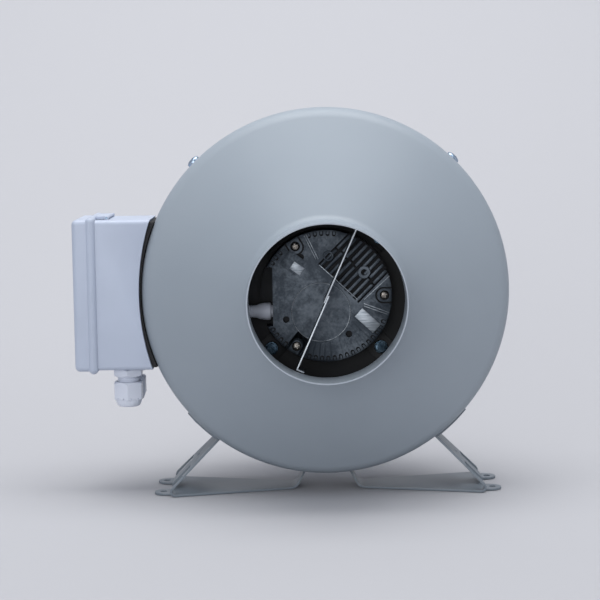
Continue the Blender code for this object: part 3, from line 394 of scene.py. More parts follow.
def strip_with_painted_light():
    """Zinc sheet with a painted highlight on its front edge and painted shade on its faces."""
    finish = Finish("galvanised strip with painted light", (0.30, 0.33, 0.36), 0.4, 0.6)
    drift = finish.noise(40.0, 4.0)
    forward = finish.node("ShaderNodeSeparateXYZ", {}, finish.place, output=1) * -1.0
    # Painted highlight on the front edge, painted shade on the faces behind it.
    front = forward.above(0.1072, 0.0005)
    dull = finish.mixed(drift, (0.03, 0.035, 0.042), (0.10, 0.112, 0.125))
    bright = finish.mixed(drift.above(0.5, 0.3), (0.42, 0.46, 0.50), (0.66, 0.70, 0.74))
    finish.wire("Base Color", finish.mixed(front, dull, bright))
    finish.wire("Roughness", drift * 0.25 + 0.25)
    finish.bump(finish.noise(350.0, 2.0, finish.stretched(1.0, 0.1, 1.0)), 0.3, 0.0003)
    return finish.material


def cast_aluminium():
    """As-cast aluminium: blotchy with a sandy grain, in tones set darker than bare aluminium as painted
    shade of the casing's inside, and near black below its face as painted shade in the recesses.
    """
    finish = Finish("cast aluminium", (0.12, 0.14, 0.16), 0.5, 0.6)
    blotches = finish.noise(34.0, 6.0, roughness=0.65)
    grain = finish.noise(420.0, 3.0)
    tone = (blotches * 0.8 + grain * 0.2).above(0.53, 0.12)
    # The tones are darker than bare aluminium: painted shade of the casing's inside.
    bare = finish.mixed(tone, (0.035, 0.046, 0.060), (0.150, 0.176, 0.205))
    forward = finish.node("ShaderNodeSeparateXYZ", {}, finish.place, output=1) * -1.0
    # Painted shade: more than about a millimetre behind the face, the casting goes near black.
    on_face = forward.above(HOUSING_FACE - 0.0012, 0.0006)
    finish.wire("Base Color", finish.mixed(on_face, (0.006, 0.007, 0.009), bare))
    finish.wire("Roughness", blotches * 0.3 + 0.34)
    finish.bump(grain * 0.6 + blotches * 0.4, 0.35, 0.0004)
    return finish.material


def milled_aluminium():
    """Brighter, scratched aluminium of the casting's flats and ribs."""
    finish = Finish("milled aluminium", (0.36, 0.40, 0.44), 0.34, 0.75)
    scratches = finish.noise(90.0, 4.0, finish.stretched(1.0, 1.0, 9.0))
    tone = scratches.above(0.5, 0.2)
    finish.wire("Base Color", finish.mixed(tone, (0.20, 0.23, 0.26), (0.46, 0.50, 0.54)))
    finish.wire("Roughness", scratches * 0.3 + 0.25)
    finish.bump(scratches, 0.2, 0.0002)
    return finish.material


def plated(name, dark, light):
    """Bright passivated zinc plating."""
    finish = Finish(name, light, 0.26, 0.95)
    drift = finish.noise(160.0, 3.0)
    finish.wire("Base Color", finish.mixed(drift.above(0.5, 0.25), dark, light))
    finish.wire("Roughness", drift * 0.18 + 0.18)
    return finish.material


def moulded(name, colour, roughness, grain=600.0, depth=0.00008, vary=0.04):
    """Moulded plastic with a fine texture and a slight drift of tone."""
    finish = Finish(name, colour, roughness)
    drift = finish.noise(14.0, 3.0)
    darker = tuple(value * (1 - vary) for value in colour)
    lighter = tuple(min(value * (1 + vary), 1.0) for value in colour)
    finish.wire("Base Color", finish.mixed(drift.above(0.5, 0.25), darker, lighter))
    texture = finish.noise(grain, 2.0)
    finish.wire("Roughness", texture * 0.12 + (roughness - 0.06))
    finish.bump(texture, 0.25, depth)
    return finish.material


def black_steel():
    finish = Finish("black coated steel", (0.010, 0.011, 0.014), 0.5, 0.2)
    drift = finish.noise(60.0, 4.0)
    tone = drift.above(0.5, 0.25)
    finish.wire("Base Color", finish.mixed(tone, (0.005, 0.006, 0.008), (0.014, 0.016, 0.020)))
    finish.wire("Roughness", drift * 0.25 + 0.42)
    finish.bump(finish.noise(500.0, 2.0), 0.15, 0.0001)
    return finish.material


def foam():
    finish = Finish("closed-cell foam", (0.012, 0.012, 0.013), 0.9)
    pores = finish.node("ShaderNodeTexVoronoi", {}, Vector=finish.place, Scale=900.0, output="Distance")
    finish.wire("Base Color", finish.mixed(pores, (0.008, 0.008, 0.009), (0.03, 0.03, 0.032)))
    finish.bump(pores, 0.6, 0.0004)
    return finish.material


def copper():
    finish = Finish("enamelled copper wire", (0.45, 0.20, 0.09), 0.35, 0.8)
    wires = finish.node("ShaderNodeTexWave", {"bands_direction": "Y"}, Vector=finish.place, Scale=180.0,
                        Distortion=3.0, output="Fac")
    finish.wire("Base Color", finish.mixed(wires, (0.22, 0.08, 0.03), (0.55, 0.27, 0.13)))
    finish.bump(wires, 0.5, 0.0004)
    return finish.material


def studio_paper():
    finish = Finish("studio paper", (0.43, 0.43, 0.45), 0.85)
    drift = finish.noise(0.8, 2.0)
    finish.wire("Base Color", finish.mixed(drift, (0.425, 0.428, 0.448), (0.44, 0.442, 0.462)))
    return finish.material


GREY_PAINT = grey_paint("grey powder coat", (0.262, 0.302, 0.343), (0.290, 0.330, 0.370))
# The feet's coat is the casing's grey made darker: painted shade of the feet low under the casing.
FOOT_SHADED_PAINT = grey_paint("grey powder coat with painted shade", (0.150, 0.180, 0.210), (0.175, 0.203, 0.232))
BRIGHT_STRIP = bare_edge_steel()
STRIP_WITH_PAINTED_LIGHT = strip_with_painted_light()
CAST = cast_aluminium()
MILLED = milled_aluminium()
BLUE_ZINC = plated("blue zinc plating", (0.20, 0.30, 0.42), (0.46, 0.55, 0.66))
# The arm bolts' plating is the blue zinc made darker: painted shade inside the casing.
SHADED_BLUE_ZINC = plated("blue zinc plating with painted shade", (0.045, 0.085, 0.125), (0.16, 0.24, 0.32))
WARM_ZINC = plated("warm zinc plating", (0.15, 0.135, 0.12), (0.36, 0.34, 0.31))
BOX_PLASTIC = moulded("box plastic", (0.432, 0.482, 0.585), 0.42)
GLAND_PLASTIC = moulded("gland plastic", (0.640, 0.675, 0.760), 0.38, 700.0)
IMPELLER_PLASTIC = moulded("impeller plastic", (0.030, 0.031, 0.034), 0.45, 400.0)
CREAM_PLASTIC = moulded("terminal plastic", (0.70, 0.66, 0.55), 0.45)
BOARD = moulded("circuit board mask", (0.020, 0.120, 0.045), 0.35)
RUBBER = moulded("black rubber", (0.015, 0.015, 0.016), 0.65, 500.0, 0.0002, 0.2)
BLACK_STEEL = black_steel()
FOAM = foam()
COPPER = copper()
PAPER = studio_paper()


# ---------------------------------------------------------------- camera, floor and light

def make_camera():
    """A long lens a little above the fan, looking past its outlet side."""
    eye = AXIS + Vector((-0.025, -1.792, 0.175))
    front = AXIS + Vector((0.0, -WALL_HALF, 0.0))
    data = bpy.data.cameras.new("studio_camera")
    data.sensor_width = 36.0
    data.lens = 108.36
    camera = bpy.data.objects.new("studio_camera", data)
    bpy.context.scene.collection.objects.link(camera)
    towards = (front - eye).normalized()
    look = towards.to_track_quat("-Z", "Y").to_matrix()
    pan = Matrix.Rotation(math.radians(0.8121), 3, "Y")
    tilt = Matrix.Rotation(math.radians(-0.2189), 3, "X")
    roll = Matrix.Rotation(math.radians(-0.8), 3, "Z")
    camera.matrix_world = at(eye) @ (look @ pan @ tilt @ roll).to_4x4()
    bpy.context.scene.camera = camera


def make_backdrop():
    """A sweep of paper: floor, a wide bend and the wall behind."""
    bend, wall, front, top, half_width = 1.6, 1.9, -6.0, 7.0, 7.0
    sweep_up = arc((wall - bend, bend), bend, -90, 0, 24)
    line = [(front, 0.0), (wall - bend, 0.0)] + sweep_up[1:] + [(wall, top)]
    clear_selection()
    bpy.ops.mesh.primitive_plane_add(size=1.0)
    sweep = bpy.context.object
    sweep.name = "studio_sweep"
    for corner in sweep.data.vertices:
        y, z = line[1] if corner.co.y > 0 else line[0]
        corner.co = (math.copysign(half_width, corner.co.x), y, z)
    pick_vertices(sweep, lambda place: abs(place.y - line[1][0]) < TINY)
    for here, there in zip(line[1:], line[2:]):
        bpy.ops.mesh.extrude_region_move(TRANSFORM_OT_translate={
            "value": (0, there[0] - here[0], there[1] - here[1])})
    leave_edit()
    settle(sweep, at((0, 0, FLOOR - 0.0005)))
    smooth(sweep)
    sweep.data.materials.append(PAPER)


def make_studio():
    make_backdrop()
    scene = bpy.context.scene
    scene.view_settings.view_transform = "Standard"
    world = bpy.data.worlds.new("studio")
    scene.world = world
    world.use_nodes = True
    world.node_tree.nodes["Background"].inputs["Color"].default_value = (0.86, 0.90, 1.0, 1.0)
    world.node_tree.nodes["Background"].inputs["Strength"].default_value = 0.55
    lamps = (
        ("overhead_softbox", (0.0, -0.4, 2.3), (0, 0, 0), 2.6, 22.0),
        ("front_fill", (-0.7, -2.6, 0.5), (0, 0, 0.15), 1.8, 25.0),
        ("right_fill", (2.2, -0.8, 0.8), (0, 0, 0.2), 1.4, 2.0),
        ("wall_wash", (0.0, 0.3, 3.4), (0, 1.9, 1.2), 3.0, 92.0),
    )
    for name, place, target, size, power in lamps:
        light = bpy.data.lights.new(name, "AREA")
        light.size = size
        light.energy = power
        lamp = bpy.data.objects.new(name, light)
        scene.collection.objects.link(lamp)
        place = Vector(place)
        aim = (Vector(target) - place).to_track_quat("-Z", "Y")
        lamp.matrix_world = at(place) @ aim.to_matrix().to_4x4()


make_camera()
make_studio()


# ---------------------------------------------------------------- casing

DOME_FOOT = RIM - 45 * MM            # where the spigot meets the dome
SCREW_HOLE = 3.1 * MM


def casing_profile(lap_line):
    """The outside of a casing half from the spigot's rim down, with its bends as arcs."""
    corners = [(SPIGOT, RIM), (SPIGOT, DOME_FOOT), (CASING, WALL_HALF), lap_line[0]]
    return rounded(corners, (12 * MM, 20 * MM), 10) + lap_line[1:]


def screw_shanks():
    """Cutters for the four casing screws."""
    return together([bar("shank", SCREW_HOLE, 30 * MM, at(round_axis(CASING, angle)) @ outward(angle), 24)
                     for angle in SCREW_ANGLES])


def make_casing():
    sides = 192
    joggle = LAP + 4 * MM                # where the inlet half steps in to go inside the other
    inner = CASING - SHEET - GAP
    outlet = lathe("outlet_casing", casing_profile([(CASING, -LAP)]), TO_OUTLET, sides)
    inlet = lathe("inlet_casing", casing_profile([
        (CASING, joggle), (inner, LAP + 1 * MM), (inner, -LAP)]), TO_INLET, sides)
    for shell in (outlet, inlet):
        thicken(shell, SHEET)
        combine(shell, screw_shanks())
        soften(shell, 0.25 * MM, 2, 60)
        smooth(shell)
    low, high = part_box("cable_grommet")
    cable_hole = bar("cable_hole", 6.8 * MM, 30 * MM, near_axis(-CASING, (low[1] + high[1]) / 2,
                                                                (low[2] + high[2]) / 2 - AXIS.z, ALONG_X))
    combine(outlet, cable_hole)
    for number in (1, 2):
        screw = centre(f"box_screw_{number}")
        drill(outlet, SCREW_HOLE, 60 * MM, at(screw) @ ALONG_X, 24)
    finish_piece(smooth(outlet), "fan", GREY_PAINT, "painted_sheet", "outlet_shell")
    finish_piece(inlet, "fan", GREY_PAINT, "painted_sheet", "inlet_shell")


def domed_head(name, radius, height, seat, tip, shank, sides=64):
    """A pan-head screw along +Z with a cross recess. Heights are measured from its origin."""
    top = seat + height
    crown = [(0.0, top)] + [(radius * math.sin(math.radians(angle)),
                             seat + height * 0.35 + height * 0.65 * math.cos(math.radians(angle)))
                            for angle in range(15, 91, 15)]
    profile = crown + [(radius, seat + 0.15 * MM), (radius - 0.15 * MM, seat), (shank, seat)]
    pitch = 0.9 * MM
    turns = int((seat - tip) / pitch) - 1
    for turn in range(turns):
        low = seat - 0.6 * MM - pitch * turn
        profile += [(shank, low), (shank * 0.86, low - pitch / 2)]
    profile += [(shank * 0.8, tip + 0.3 * MM), (0.0, tip)]
    head = lathe(name, profile, STILL, sides)
    for quarter in (0, 90):
        turn = Matrix.Rotation(math.radians(quarter + 20), 4, "Z")
        slot = cube("slot", (-radius * 0.62, -radius * 0.12, top - height * 0.55),
                    (radius * 0.62, radius * 0.12, top + height), turn)
        combine(head, slot)
    return smooth(head)


def make_casing_screws():
    for number, angle in enumerate(SCREW_ANGLES, 1):
        node = f"casing_screw_{number}"
        bracket = FOOT_SHEET + GAP if angle > 180 else 0.0
        seat = CASING + GAP + bracket
        tip = CASING - 14 * MM
        screw = domed_head(f"casing_screw_head_{number}", 6.8 * MM, 4.4 * MM, seat, tip, 2.5 * MM)
        settle(screw, near_axis(0, 0, 0, outward(angle)))
        finish_piece(screw, "fan", BLUE_ZINC, "zinc_steel", node)


# ---------------------------------------------------------------- outlet strips

def make_vanes():
    """Two bare strips on edge across the outlet, lapped and riveted on the axis."""
    slope = near_axis(0, 0, 0, Matrix.Rotation(math.radians(-65.8), 4, "Y"))
    low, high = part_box("flow_vane_upper")
    front, back = low[1], high[1]
    reach = 72.4 * MM
    for name, way in (("upper", 1), ("lower", -1)):
        x = sorted((-4 * MM * way, reach * way))
        z = sorted((way * 0.15 * MM, way * 1.35 * MM))
        strip = cube(f"flow_strip_{name}", (x[0], front, z[0]), (x[1], back, z[1]))
        tab_x = sorted((reach * way, (reach - SHEET) * way))
        tab_z = sorted((way * 0.15 * MM, way * 8 * MM))
        combine(strip, cube("tab", (tab_x[0], front, tab_z[0]), (tab_x[1], back, tab_z[1])), "UNION")
        drill(strip, 2.0 * MM, 10 * MM, at((0, (front + back) / 2, 0)), 24)
        soften(strip, 0.3 * MM, 2)
        settle(smooth(strip), slope)
        finish_piece(strip, "fan", STRIP_WITH_PAINTED_LIGHT, "galvanised_sheet", f"flow_vane_{name}")
    grip = 1.65 * MM
    head = [(0.0, grip + 1.2 * MM), (1.6 * MM, grip + 1.1 * MM), (2.8 * MM, grip + 0.7 * MM),
            (3.4 * MM, grip)]
    back_head = [(radius, -height) for radius, height in reversed(head)]
    profile = head + [(1.7 * MM, grip), (1.7 * MM, -grip)] + back_head
    rivet = lathe("strip_rivet", profile, slope @ at((0, (front + back) / 2, 0)), 48)
    finish_piece(rivet, "fan", BRIGHT_STRIP, "galvanised_sheet", "vane_rivet")


# ---------------------------------------------------------------- motor in the outlet

def on_face(x, z, turn_degrees=0.0):
    """A place on the housing's face, from the motor's axis. +Z looks out of the face and +Y up."""
    return near_axis(x, -HOUSING_FACE, z, FACE_OUT @ Matrix.Rotation(math.radians(turn_degrees), 4, "Z"))


def face_block(name, x, z, width, height, low, high, turn=0.0, round_edges=0.4 * MM):
    """A block on the housing's face, from low to high above it."""
    block = cube(name, (-width / 2, -height / 2, low), (width / 2, height / 2, high))
    if round_edges:
        soften(block, round_edges, 2)
    return settle(block, on_face(x, z, turn))


def raised_pad(name, x, z, width, height, high, turn, round_edges):
    """A low block that stands proud of the housing's face. Its sizes are in millimetres."""
    return face_block(name, x * MM, z * MM, width * MM, height * MM, -1 * MM, high * MM, turn,
                      round_edges * MM)


HOUSING_SCREWS = (0, 121, 239)
SCREW_CIRCLE = 56 * MM


def make_housing():
    """Die-cast cover of the electronics, with its fins, ribs, rim pockets, screw ears and raised disc."""
    depth = HOUSING_FACE - HOUSING_BACK
    cavity, face = 48.5 * MM, 7 * MM
    profile = [(0.0, 0.0), (HOUSING - 1.6 * MM, 0.0), (HOUSING - 0.4 * MM, -0.4 * MM), (HOUSING, -1.6 * MM),
               (HOUSING, -depth), (cavity, -depth), (cavity, -face), (0.0, -face)]
    housing = lathe("motor_housing", profile, on_face(0, 0), 160)
    reach = HOUSING - 51 * MM
    combine(housing, face_block("pocket", -51 * MM - reach, 0, 2 * reach, 56.6 * MM, -22 * MM, 5 * MM, 0, 0))
    entry = centre("cable_sleeve")
    drill(housing, 6.1 * MM, 12 * MM, at((AXIS.x - 51 * MM, entry.y, entry.z)) @ ALONG_X)
    for angle in HOUSING_SCREWS:
        spot = polar(SCREW_CIRCLE, angle)
        combine(housing, ear_groove(angle))
        drill(housing, 4.7 * MM, 5.4 * MM, on_face(*spot), 48)
        drill(housing, 2.4 * MM, 60 * MM, on_face(*spot), 24)
    for spot in ((-23.6, 37.6), (-38.4, -22.0), (21.4, -36.8)):
        drill(housing, 3.2 * MM, 12 * MM, on_face(spot[0] * MM, spot[1] * MM), 32)
    combine(housing, fin_bed())
    combine(housing, rim_pockets())
    smooth(housing)
    housing = together([housing, *fins(), *raised_features()])
    housing.name = "motor_housing"
    finish_piece(smooth(housing), "fan", CAST, "cast_aluminium", "electronics_housing")
    flats = together(bright_flats())
    flats.name = "milled_flats"
    finish_piece(smooth(flats), "fan", MILLED, "cast_aluminium", "electronics_housing")


DISC = (-5.0 * MM, -15.4 * MM)
FIN_START = 16.8 * MM
FIN_PITCH = 6.0 * MM
FIN_ROWS = 9
FIN_NOTCH = 39.5 * MM


def polar(radius, degrees):
    return radius * math.cos(math.radians(degrees)), radius * math.sin(math.radians(degrees))


def slot_to_rim(radius, angle, low, high):
    """A round-ended slot on the face, from a screw out past the rim."""
    slot = bar("slot", radius, high - low, at((SCREW_CIRCLE - 1 * MM, 0, (low + high) / 2)), 48)
    run = cube("run", (SCREW_CIRCLE - 1 * MM, -radius, low), (HOUSING + 3 * MM, radius, high))
    combine(slot, run, "UNION")
    return settle(slot, on_face(0, 0, angle))


def ear_groove(angle):
    """The dark groove that runs round a screw's ear and out to the rim."""
    groove = slot_to_rim(8.0 * MM, angle, -3.2 * MM, 2 * MM)
    return combine(groove, slot_to_rim(6.3 * MM, angle, -4 * MM, 3 * MM))


def rim_pockets():
    """Small round-ended pockets in the rim, open to its outside."""
    pitch = 5.8
    spans = ((82, 5), (136, 4), (206, 5), (-106, 15))
    pockets = []
    for first, count in spans:
        for number in range(count):
            angle = first + pitch * number
            pocket = cube("pocket", (HOUSING - 4.2 * MM, -1.9 * MM, -2.4 * MM),
                          (HOUSING - 1.2 * MM, 1.9 * MM, 1 * MM))
            combine(pocket, bar("end", 1.9 * MM, 3.4 * MM, at(
                (HOUSING - 4.2 * MM, 0, -0.7 * MM)), 24), "UNION")
            island = cube("island", (HOUSING - 4.2 * MM, -1.0 * MM, -4 * MM), (HOUSING, 1.0 * MM, 2 * MM))
            combine(pocket, island)
            pockets.append(settle(pocket, on_face(0, 0, angle)))
    return together(pockets)


def fin_bed():
    """The sunk bed between the fins: it opens at the rim."""
    half = FIN_PITCH * FIN_ROWS / 2
    bed = cube("bed", (FIN_START, -half, -6 * MM), (HOUSING + 4 * MM, half, 3 * MM))
    return settle(bed, on_face(0, 0, 45))


def fins():
    """Fins from lower left to upper right, notched half way and ending in rounded tips at the rim."""
    made = []
    for row in range(FIN_ROWS):
        across = (row - (FIN_ROWS - 1) / 2) * FIN_PITCH
        rim = math.sqrt((HOUSING - 1.0 * MM) ** 2 - across ** 2)
        notch = min(FIN_NOTCH + (row % 2) * 1.5 * MM, rim - 6 * MM)
        for start, end in ((FIN_START - 1 * MM, notch - 0.8 * MM), (notch + 0.8 * MM, rim)):
            fin = cube("fin", (start, across - 1.5 * MM, -6.4 * MM), (end, across + 1.5 * MM, -0.1 * MM))
            made.append(settle(soften(fin, 0.75 * MM, 3), on_face(0, 0, 45)))
            crest = cube("crest", (start + 1.5 * MM, across - 0.5 * MM, -1 * MM),
                         (end - 1.5 * MM, across + 0.5 * MM, 0.35 * MM))
            made.append(settle(soften(crest, 0.3 * MM, 2), on_face(0, 0, 45)))
    return made


def raised_features():
    """The eccentric disc, ring bosses and low pads of the casting."""
    disc = lathe("disc", [(0.0, 0.9 * MM), (27.6 * MM, 0.9 * MM), (28.4 * MM, 0.3 * MM),
                          (28.4 * MM, -2 * MM), (0.0, -2 * MM)], on_face(*DISC), 128)
    made = [disc]
    for x, z, inner, outer, height in ((36.6, 22.4, 2.8, 6.2, 1.3), (2.6, 38.4, 3.1, 5.2, 1.0)):
        made.append(lathe("boss", [
            ((outer - 0.6) * MM, height * MM), (outer * MM, (height - 0.6) * MM), (outer * MM, -6 * MM),
            (inner * MM, -6 * MM), (inner * MM, (height - 0.4) * MM), ((inner + 0.4) * MM, height * MM)],
            on_face(x * MM, z * MM), 48, closed=True))
    made.append(lathe("faint_round", [(0.0, 0.3 * MM), (4.8 * MM, 0.3 * MM), (5.4 * MM, -0.5 * MM),
                                      (0.0, -0.5 * MM)], on_face(-3.0 * MM, 51.6 * MM), 48))
    made.append(raised_pad("pad", -31.5, 32.5, 19, 17, 0.35, -38, 0.3))
    return made


def bright_flats():
    """Ribs and machined pads, in the brighter milled finish."""
    ribs = ((-12.6, 47.4, 26.5, 115.5), (48.2, -12.2, 26.0, -20.5), (12.0, 13.2, 50.0, -43.0),
            (48.6, 7.2, 33.0, 42.5))
    made = [raised_pad("rib", x, z, length, 0.9, 0.8, turn, 0.3) for x, z, length, turn in ribs]
    made.append(lathe("disc_edge", [
        (28.0 * MM, 1.0 * MM), (28.5 * MM, 0.7 * MM), (28.6 * MM, -1 * MM), (27.9 * MM, -1 * MM),
        (27.7 * MM, 0.9 * MM)], on_face(*DISC), 128, closed=True))
    made.append(raised_pad("rib", -14.6, 46.8, 25, 0.8, 0.7, 115.5, 0.3))
    made.append(raised_pad("rib", 47.4, -14.2, 24, 0.8, 0.7, -20.5, 0.3))
    made.append(raised_pad("pad", 39.6, -24.2, 24.0, 11.2, 0.8, -43, 0.5))
    made.append(raised_pad("pad", -27.4, 27.0, 12.0, 8.5, 0.7, -36, 0.5))
    return made


def make_housing_screws():
    for number, angle in enumerate(HOUSING_SCREWS, 1):
        screw = domed_head(f"motor_screw_{number}", 4.0 * MM, 2.5 * MM, -2.7 * MM, -28 * MM, 1.8 * MM, 48)
        finish_piece(settle(screw, on_face(*polar(SCREW_CIRCLE, angle))), "fan", WARM_ZINC, "zinc_steel",
                     f"housing_screw_{number}")


# ---------------------------------------------------------------- motor carrier

PLATE_FRONT = 42 * MM                # forward of the casing's middle
BOLT_CIRCLE = 75.5 * MM
ARM_SHEET = 1.5 * MM


def bolt_hole(piece, angle):
    return drill(piece, 3.6 * MM, 20 * MM, at(round_axis(BOLT_CIRCLE, angle, PLATE_FRONT)) @ FACE_OUT, 24)


def make_carrier():
    """The ring plate that carries the motor, four bent arms to the casing and their flanged bolts."""
    low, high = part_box("motor_plate")
    plate = lathe("carrier_plate", [(87.7 * MM, -low[1]), (88 * MM, -low[1] - 0.3 * MM), (88 * MM, -high[1]),
                                    (20 * MM, -high[1]), (20 * MM, -low[1])], TO_OUTLET, 160, closed=True)
    for angle in SCREW_ANGLES:
        bolt_hole(plate, angle)
    finish_piece(smooth(plate), "fan", BLACK_STEEL, "black_steel", "motor_plate")
    for number, angle in enumerate(SCREW_ANGLES, 1):
        arm = strap(f"carrier_arm_{number}", arm_line(), [23.6 * MM] * len(arm_line()), ARM_SHEET)
        soften(arm, 0.2 * MM, 2, 50)
        settle(smooth(arm), near_axis(0, 0, 0, Matrix.Rotation(-math.radians(angle), 4, "Y")))
        bolt_hole(arm, angle)
        drill(arm, SCREW_HOLE, 30 * MM, at(round_axis(CASING, angle)) @ outward(angle), 24)
        finish_piece(arm, "fan", BLACK_STEEL, "black_steel", f"support_arm_{number}")
        make_arm_bolt(number, angle)


def arm_line():
    """The front and outer side of an arm in a plane through the axis, as (outward, back)."""
    face = -(PLATE_FRONT + GAP + ARM_SHEET)
    wall = CASING - 2 * SHEET - GAP - 0.7 * MM
    return rounded([(66 * MM, face), (wall, face), (wall, 9.9 * MM)], (14 * MM,), 12)


def strap(name, line, widths, sheet):
    """A strip of sheet along a line in the X-Y plane, lying on the line's left, with its width upright."""
    clear_selection()
    bpy.ops.mesh.primitive_plane_add(size=1.0)
    piece = bpy.context.object
    piece.name = name
    for corner in piece.data.vertices:
        end = 1 if corner.co.y > 0 else 0
        corner.co = (*line[end], math.copysign(widths[end] / 2, corner.co.x))
    ahead = Vector((*line[1], 0)) - Vector((*line[0], 0))
    pick_vertices(piece, lambda place: (place.xy - Vector(line[1])).length < TINY)
    for (x, y), after, width, next_width in zip(line[1:], line[2:], widths[1:], widths[2:]):
        bpy.ops.mesh.extrude_region_move(TRANSFORM_OT_translate={"value": (after[0] - x, after[1] - y, 0)})
        bpy.ops.transform.resize(value=(1, 1, next_width / width), center_override=(*after, 0))
    leave_edit()
    left = Vector((0, 0, 1)).cross(ahead)
    facing = 1 if piece.data.polygons[0].normal.dot(left) > 0 else -1
    return apply_modifier(piece, "SOLIDIFY", thickness=sheet, offset=facing, use_even_offset=True)


def make_arm_bolt(number, angle):
    """A flanged hex bolt with a domed top, its head on the front of an arm."""
    seat = PLATE_FRONT + ARM_SHEET + 2 * GAP
    place = at(round_axis(BOLT_CIRCLE, angle)) @ FACE_OUT
    flange = lathe(f"arm_bolt_{number}_flanged", [
        (0.0, seat + 1.0 * MM), (6.1 * MM, seat + 1.0 * MM), (6.6 * MM, seat + 0.4 * MM), (6.6 * MM, seat),
        (3.0 * MM, seat), (3.0 * MM, 36.2 * MM), (0.0, 36.2 * MM)], STILL, 48)
    head = hexagon("head", 10 * MM, seat + 0.6 * MM, seat + 4.4 * MM, 1)
    bolt = together([flange, head])
    finish_piece(smooth(settle(bolt, place)), "fan", SHADED_BLUE_ZINC, "zinc_steel", f"arm_bolt_{number}")


def hexagon(name, flats, low, high, chamfered_ends=2, edge=0.25 * MM):
    """A hexagonal prism along Z with its corners chamfered as if turned."""
    corner = flats / math.sqrt(3)
    prism = bar(name, corner, high - low, at((0, 0, (low + high) / 2)), 6)
    soften(prism, edge, 3, 40)
    fall = (corner - flats / 2) * 0.9
    top = [(0.0, high), (flats / 2 * 0.97, high), (corner + 0.01 * MM, high - fall)]
    bottom = [(corner + 0.01 * MM, low + fall), (flats / 2 * 0.97, low), (0.0, low)]
    if chamfered_ends == 1:
        bottom = [(corner + 0.01 * MM, low), (0.0, low)]
    return combine(prism, lathe("chamfers", top + bottom, STILL, 96), "INTERSECT")


# ---------------------------------------------------------------- terminal box

SADDLE_MIDDLE = 48 * MM              # the box's saddle is a wider arc than the casing
SADDLE = 230 * MM
BOX_HALF_DEPTH = 42 * MM
BOX_HALF_HEIGHT = 73.5 * MM
BOX_WALL = 2.5 * MM
BOX_RIM = -229 * MM
LID_SCREW_Y = 33 * MM
LID_SCREW_Z = -64.5 * MM
GLAND_X = -196 * MM
GLAND_Y = 20 * MM


def slab(name, low, high, corner, edge=0.0, place=None):
    """A box with all its edges rounded by one radius, and softened again by a smaller one if given."""
    piece = cube(name, low, high)
    edit(piece, "EDGE")
    bpy.ops.mesh.bevel(offset=corner, segments=6, affect="EDGES")
    leave_edit()
    if edge:
        soften(piece, edge, 3, 60)
    return settle(piece, place)


def box_slab(name, x_low, x_high, grow, corner, edge=0.0):
    """A slab as deep and high as the terminal box and larger by grow on each side."""
    deep, tall = BOX_HALF_DEPTH + grow, BOX_HALF_HEIGHT + grow
    return slab(name, (x_low, -deep, -tall), (x_high, deep, tall), corner, edge, near_axis(0, 0, 0))


def saddle_tool(radius):
    return bar("saddle", radius, 0.2, near_axis(SADDLE_MIDDLE, 0, 0, FACE_OUT), 256)


def make_box():
    """Body of the terminal box, from its saddle to its rim."""
    body = box_slab("terminal_box", BOX_RIM, -165 * MM, 0, 4 * MM)
    combine(body, saddle_tool(SADDLE))
    soften(body, 0.5 * MM, 2, 50)
    cavity = box_slab("cavity", -240 * MM, -155 * MM, -BOX_WALL, 2 * MM)
    combine(cavity, saddle_tool(SADDLE + BOX_WALL))
    combine(body, cavity)
    for side in (-1, 1):
        boss = near_axis(-221 * MM, side * LID_SCREW_Y, LID_SCREW_Z, ALONG_X)
        combine(body, bar("boss", 7 * MM, 13.6 * MM, boss), "UNION")
        drill(body, SCREW_HOLE, 40 * MM, near_axis(BOX_RIM, side * LID_SCREW_Y, LID_SCREW_Z, ALONG_X))
        drill(body, 10.25 * MM, 20 * MM, near_axis(GLAND_X, side * GLAND_Y, -BOX_HALF_HEIGHT))
        ear = cube("ear", (-2 * MM, -2.4 * MM, -3 * MM), (2 * MM, 2.4 * MM, 3.4 * MM))
        settle(ear, near_axis(-212.6 * MM, side * 27.8 * MM, BOX_HALF_HEIGHT))
        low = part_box("box_body")[1][2]
        ear_top = max(vertex.co.z for vertex in ear.data.vertices)
        if ear_top > low:
            settle(ear, at((0, 0, low - ear_top)))
        combine(body, soften(ear, 0.5 * MM, 3), "UNION")
        screw = centre("box_screw_1" if side < 0 else "box_screw_2")
        drill(body, SCREW_HOLE, 60 * MM, at(screw) @ ALONG_X, 24)
    pin = centre("lid_hinge_pin")
    drill(body, 1.1 * MM, 0.09, at(pin) @ FACE_OUT, 24)
    grommet = centre("cable_grommet")
    drill(body, 6.8 * MM, 40 * MM, at(grommet) @ ALONG_X, 48)
    finish_piece(smooth(body), "fan", BOX_PLASTIC, "box_plastic", "box_body")


